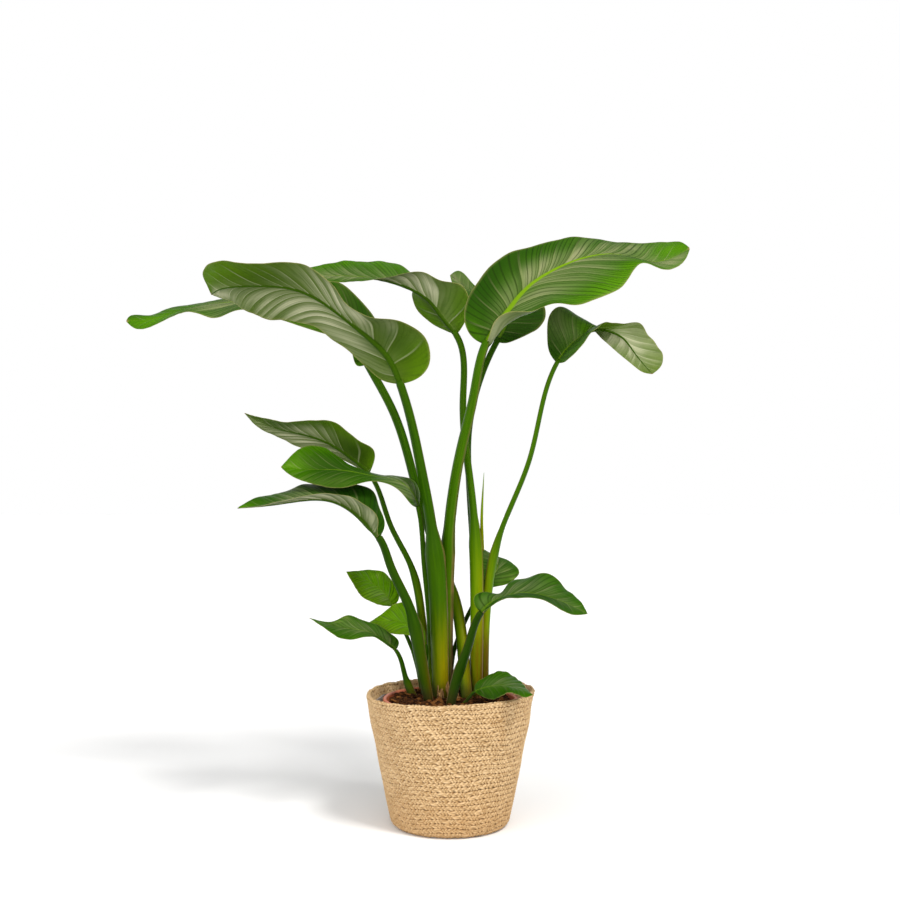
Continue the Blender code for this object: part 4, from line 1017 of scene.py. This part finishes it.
def build_soil():
    """A heaped, crumbly surface: one lumpy body and loose crumbs, bark and roots on it."""
    rng = np.random.default_rng(33)
    radii = np.linspace(SOIL_EDGE, 0.0015, 70)[:, None]
    turn = circle(SOIL_AROUND)
    x, y = radii * np.cos(turn), radii * np.sin(turn)
    z = ground(x, y)
    z = z + 0.0015 * ripple(x * 1, y * 1, rng, 8, 90, 260)
    z = z + 0.0009 * ripple(x * 1, y * 1, rng, 10, 500, 1200)
    z = z - 0.0035 * smooth(radii, 0.083, SOIL_EDGE)
    top = np.stack([x, y, z], -1)
    base = turned([(0.002, 0.0135), (0.067, 0.0135), (SOIL_EDGE, 0.155)], SOIL_AROUND)
    rings = np.concatenate([base, top])
    mesh_piece("soil_body", rings, capped(len(rings), SOIL_AROUND), [SOIL], "soil",
               {"light": np.zeros(rings.shape[:2])})

    bm = bmesh.new()
    bmesh.ops.create_icosphere(bm, subdivisions=2, radius=1.0)
    shape = np.array([tuple(v.co) for v in bm.verts])
    tris = np.array([[v.index for v in f.verts] for f in bm.faces])
    bm.free()
    verts, faces, light = [], [], []
    for i in range(CRUMBS):
        r, a = CRUMB_REACH * math.sqrt(rng.uniform(0, 1)), rng.uniform(0, 2 * math.pi)
        at = np.array([r * math.cos(a), r * math.sin(a), 0])
        size = 0.0011 + 0.0032 * rng.uniform(0, 1) ** 3
        long = rng.uniform(1.6, 4.5) if i % 9 == 0 else rng.uniform(0.8, 1.3)
        scale = np.array([long, rng.uniform(0.7, 1.1), rng.uniform(0.45, 0.8)]) * size
        lump = 1 + 0.22 * np.sin(shape @ rng.normal(0, 3.0, 3) + rng.uniform(0, 6))
        spin, tilt = rng.uniform(0, 2 * math.pi), rng.normal(0, 0.3)
        pts = shape * lump[:, None] * scale
        c, s = math.cos(tilt), math.sin(tilt)
        pts = pts @ np.array([[c, 0, -s], [0, 1, 0], [s, 0, c]])
        c, s = math.cos(spin), math.sin(spin)
        pts = pts @ np.array([[c, s, 0], [-s, c, 0], [0, 0, 1]])
        at[2] = ground(at[0], at[1]) - 0.0006 + size * rng.uniform(0.1, 0.9)
        at[:2] *= min(1.0, (CRUMB_REACH - size * long) / max(r, 1e-6))
        faces.append(tris + len(verts) * len(shape))
        verts.append(pts + at)
        light.append(np.full(len(shape), rng.uniform(0, 1) ** 3 if i % 9 else 0.9))
    mesh_piece("soil_crumbs", np.concatenate(verts), np.concatenate(faces), [SOIL], "soil",
               {"light": np.concatenate(light)})


# The unopened leaf's centre line, in millimetres, and its size.
SPEAR_LINE = ((47, 42, 386), (46.5, 41, 424), (47, 40, 450), (49.5, 39, 500))
SPEAR_ROWS, SPEAR_AROUND, SPEAR_RADIUS, SPEAR_LENGTH = 60, 16, 0.0027, 0.11
STUB_PLACE, STUB_AROUND = (-0.0135, 0.002), 40  # on the soil, from the axis
# The stub: height over the soil and radius, up its outside, over its torn edge and down inside.
STUB_PROFILE = ((-0.004, 0.0052), (0.002, 0.0051), (0.006, 0.0048), (0.010, 0.0044),
                (0.0125, 0.0041), (0.0122, 0.0032), (0.009, 0.0028), (0.007, 0.0006))
SHEATH_PLACE = (0.006, 0.002)
SHEATH_HEIGHT, SHEATH_HALF, SHEATH_THICKNESS = 0.030, 0.0078, 0.0007
SHEATH_ROWS, SHEATH_COLUMNS = 26, 15


def build_spear():
    """The unopened leaf, rolled up."""
    line = spline(np.array(SPEAR_LINE) / 1000, np.linspace(0, 1, SPEAR_ROWS))
    share = np.linspace(0, 1, SPEAR_ROWS)[:, None]
    turn = circle(SPEAR_AROUND)
    roll = turn - 6 * share
    radius = SPEAR_RADIUS * (1 - 0.9 * share ** 1.6) * (1 + 0.12 * np.cos(roll))
    ring = around_axis(radius, turn, line[:, 2:3], (line[:, 0:1], line[:, 1:2]))
    flat = np.ones(ring.shape[:2])
    values = dict(along=share * SPEAR_LENGTH * flat, around=turn * 0.001 * flat, wing=flat * 0.9,
                  gold=0.5 * flat * (1 - share), worn=0.3 * flat * (1 - share), leaf=flat * 2,
                  shade=-0.6 * flat, edge=smooth(np.cos(roll), 0.9, 1.0) * 0.6)
    mesh_piece("furled_leaf", ring, capped(SPEAR_ROWS, SPEAR_AROUND), [STALK], "new_leaf_spear",
               values)


def build_stub():
    """What is left of a cut stalk, with two torn points."""
    rng = np.random.default_rng(9)
    levels, spread = (np.array(c)[:, None] for c in zip(*STUB_PROFILE))
    turn = circle(STUB_AROUND)
    rag = 0.0022 * ripple(turn * 5, 0 * turn, rng, 4, 0.6, 1.6)
    rag = rag + 0.0075 * smooth(np.cos(turn - 3.0), 0.75, 1.0)
    rag = rag + 0.004 * smooth(np.cos(turn - 5.2), 0.8, 1)
    radius = spread * (1 + 0.10 * np.sin(3 * turn) + 0.05 * np.sin(7 * turn + 1))
    z = soil_height(*STUB_PLACE) + levels + rag * smooth(levels, 0.004, 0.012)
    ring = around_axis(radius, turn, z, STUB_PLACE)
    flat = np.ones(ring.shape[:2])
    mesh_piece("stalk_stub", ring, capped(len(levels), STUB_AROUND), [DEAD], "cut_stub",
               dict(along=levels * flat, around=turn * 0.001 * flat))


def build_dried_sheath():
    """A papery remnant with a torn top, leaning to the left."""
    share = np.linspace(0, 1, SHEATH_ROWS)[:, None]
    side = np.linspace(-1, 1, SHEATH_COLUMNS)[None]
    half = SHEATH_HALF * (1 - share ** 2) ** 0.7 + 0.0010
    bend = 0.006 * share ** 1.6
    x = SHEATH_PLACE[0] + half * side + 0.0006 * np.sin(9 * share + side)
    x = x - 0.0042 * (1 - side) * share
    y = SHEATH_PLACE[1] - bend + 0.003 * side ** 2 + 0.0007 * np.sin(14 * share + 3 * side)
    torn = 0.55 + 0.45 * np.abs(np.sin(2.4 * side + 0.9)) ** 1.5
    z = soil_height(*SHEATH_PLACE) - 0.003 + SHEATH_HEIGHT * share * torn
    front = np.stack([x, y, z], -1)
    back = front + np.array([0, SHEATH_THICKNESS, 0])
    ring = np.concatenate([front, back[:, ::-1]], 1)
    flat = np.ones((SHEATH_ROWS, SHEATH_COLUMNS))
    values = dict(along=share * 0.9 * SHEATH_HEIGHT * flat, around=side * 0.006 * flat)
    mesh_piece("papery_sheath", ring, capped(SHEATH_ROWS, 2 * SHEATH_COLUMNS), [DEAD],
               "dried_sheath", both(values))


# ---- room ----------------------------------------------------------------------------------

KEY = Vector((0.46, -0.58, 1.0)).normalized()  # towards the main light
FILL = Vector((-0.30, -0.88, 0.42)).normalized()  # towards the middle of the soft fill light
KEY_STRENGTH, KEY_SPREAD, KEY_COLOUR = 2.0, 15, (1.0, 0.985, 0.96)  # its spread in degrees
FLOOR_SIZE = 9.0  # half the floor's width
CAMERA_PLACE, LENS, SENSOR = (0, -1.9, 0.533), 53.2, 36.0


def build_world():
    """White all round, dimmer overhead, with a broad soft box in front to the left."""
    world = bpy.data.worlds.new("studio")
    bpy.context.scene.world = world
    world.use_nodes = True
    tree = world.node_tree
    back = next(n for n in tree.nodes if n.type == "BACKGROUND")
    place = tree.nodes.new("ShaderNodeTexCoord").outputs["Generated"]
    split = tree.nodes.new("ShaderNodeSeparateXYZ")
    tree.links.new(place, split.inputs[0])
    dot = tree.nodes.new("ShaderNodeVectorMath")
    dot.operation = "DOT_PRODUCT"
    tree.links.new(place, dot.inputs[0])
    dot.inputs[1].default_value = FILL
    total = tree.nodes.new("ShaderNodeMath")
    for slot, (socket, numbers) in enumerate(((split.outputs["Z"], (0.36, 0.60, 1.0, 0.30)),
                                              (dot.outputs["Value"], (0.45, 0.95, 0.0, 1.4)))):
        ramp = tree.nodes.new("ShaderNodeMapRange")
        ramp.interpolation_type = "SMOOTHSTEP"
        tree.links.new(socket, ramp.inputs["Value"])
        for key, number in zip(("From Min", "From Max", "To Min", "To Max"), numbers):
            ramp.inputs[key].default_value = number
        tree.links.new(ramp.outputs["Result"], total.inputs[slot])
    tree.links.new(total.outputs[0], back.inputs["Strength"])
    back.inputs["Color"].default_value = (1.0, 1.0, 1.0, 1)


def build_room():
    """A pale floor, white surroundings, a soft main light from the right, and the camera."""
    mesh = bpy.data.meshes.new("studio_floor")
    corners = [(x * FLOOR_SIZE, y * FLOOR_SIZE, 0) for x, y in ((-1, -1), (1, -1), (1, 1), (-1, 1))]
    mesh.from_pydata(corners, [], [(0, 1, 2, 3)])
    s = Shader("floor_paint", 0.9, Specular_IOR_Level=0.1)
    s.colour = s.mix(s.noise(3.0), (0.90, 0.90, 0.90), (0.92, 0.92, 0.92))
    mesh.materials.append(s.finish())
    floor = add_object("studio_floor", mesh)

    build_world()
    sun = bpy.data.lights.new("key_light", "SUN")
    sun.energy, sun.angle, sun.color = KEY_STRENGTH, math.radians(KEY_SPREAD), KEY_COLOUR
    lamp = add_object("key_light", sun)
    lamp.rotation_euler = (-KEY).to_track_quat("-Z", "Y").to_euler()

    camera = bpy.data.cameras.new("camera")
    camera.lens, camera.sensor_width = LENS, SENSOR
    obj = add_object("camera", camera)
    obj.location = CAMERA_PLACE
    obj.rotation_euler = (math.radians(90), 0, 0)
    scene = bpy.context.scene
    scene.camera = obj
    scene.view_settings.view_transform = "Standard"
    scene.view_settings.look = "None"


for index, (leaf_name, leaf_data) in enumerate(LEAVES.items()):
    blade_piece(index, leaf_name, leaf_data)
    stem_piece(index, leaf_name, leaf_data)
build_basket()
build_liner()
build_pot()
build_soil()
build_spear()
build_stub()
build_dried_sheath()
build_room()
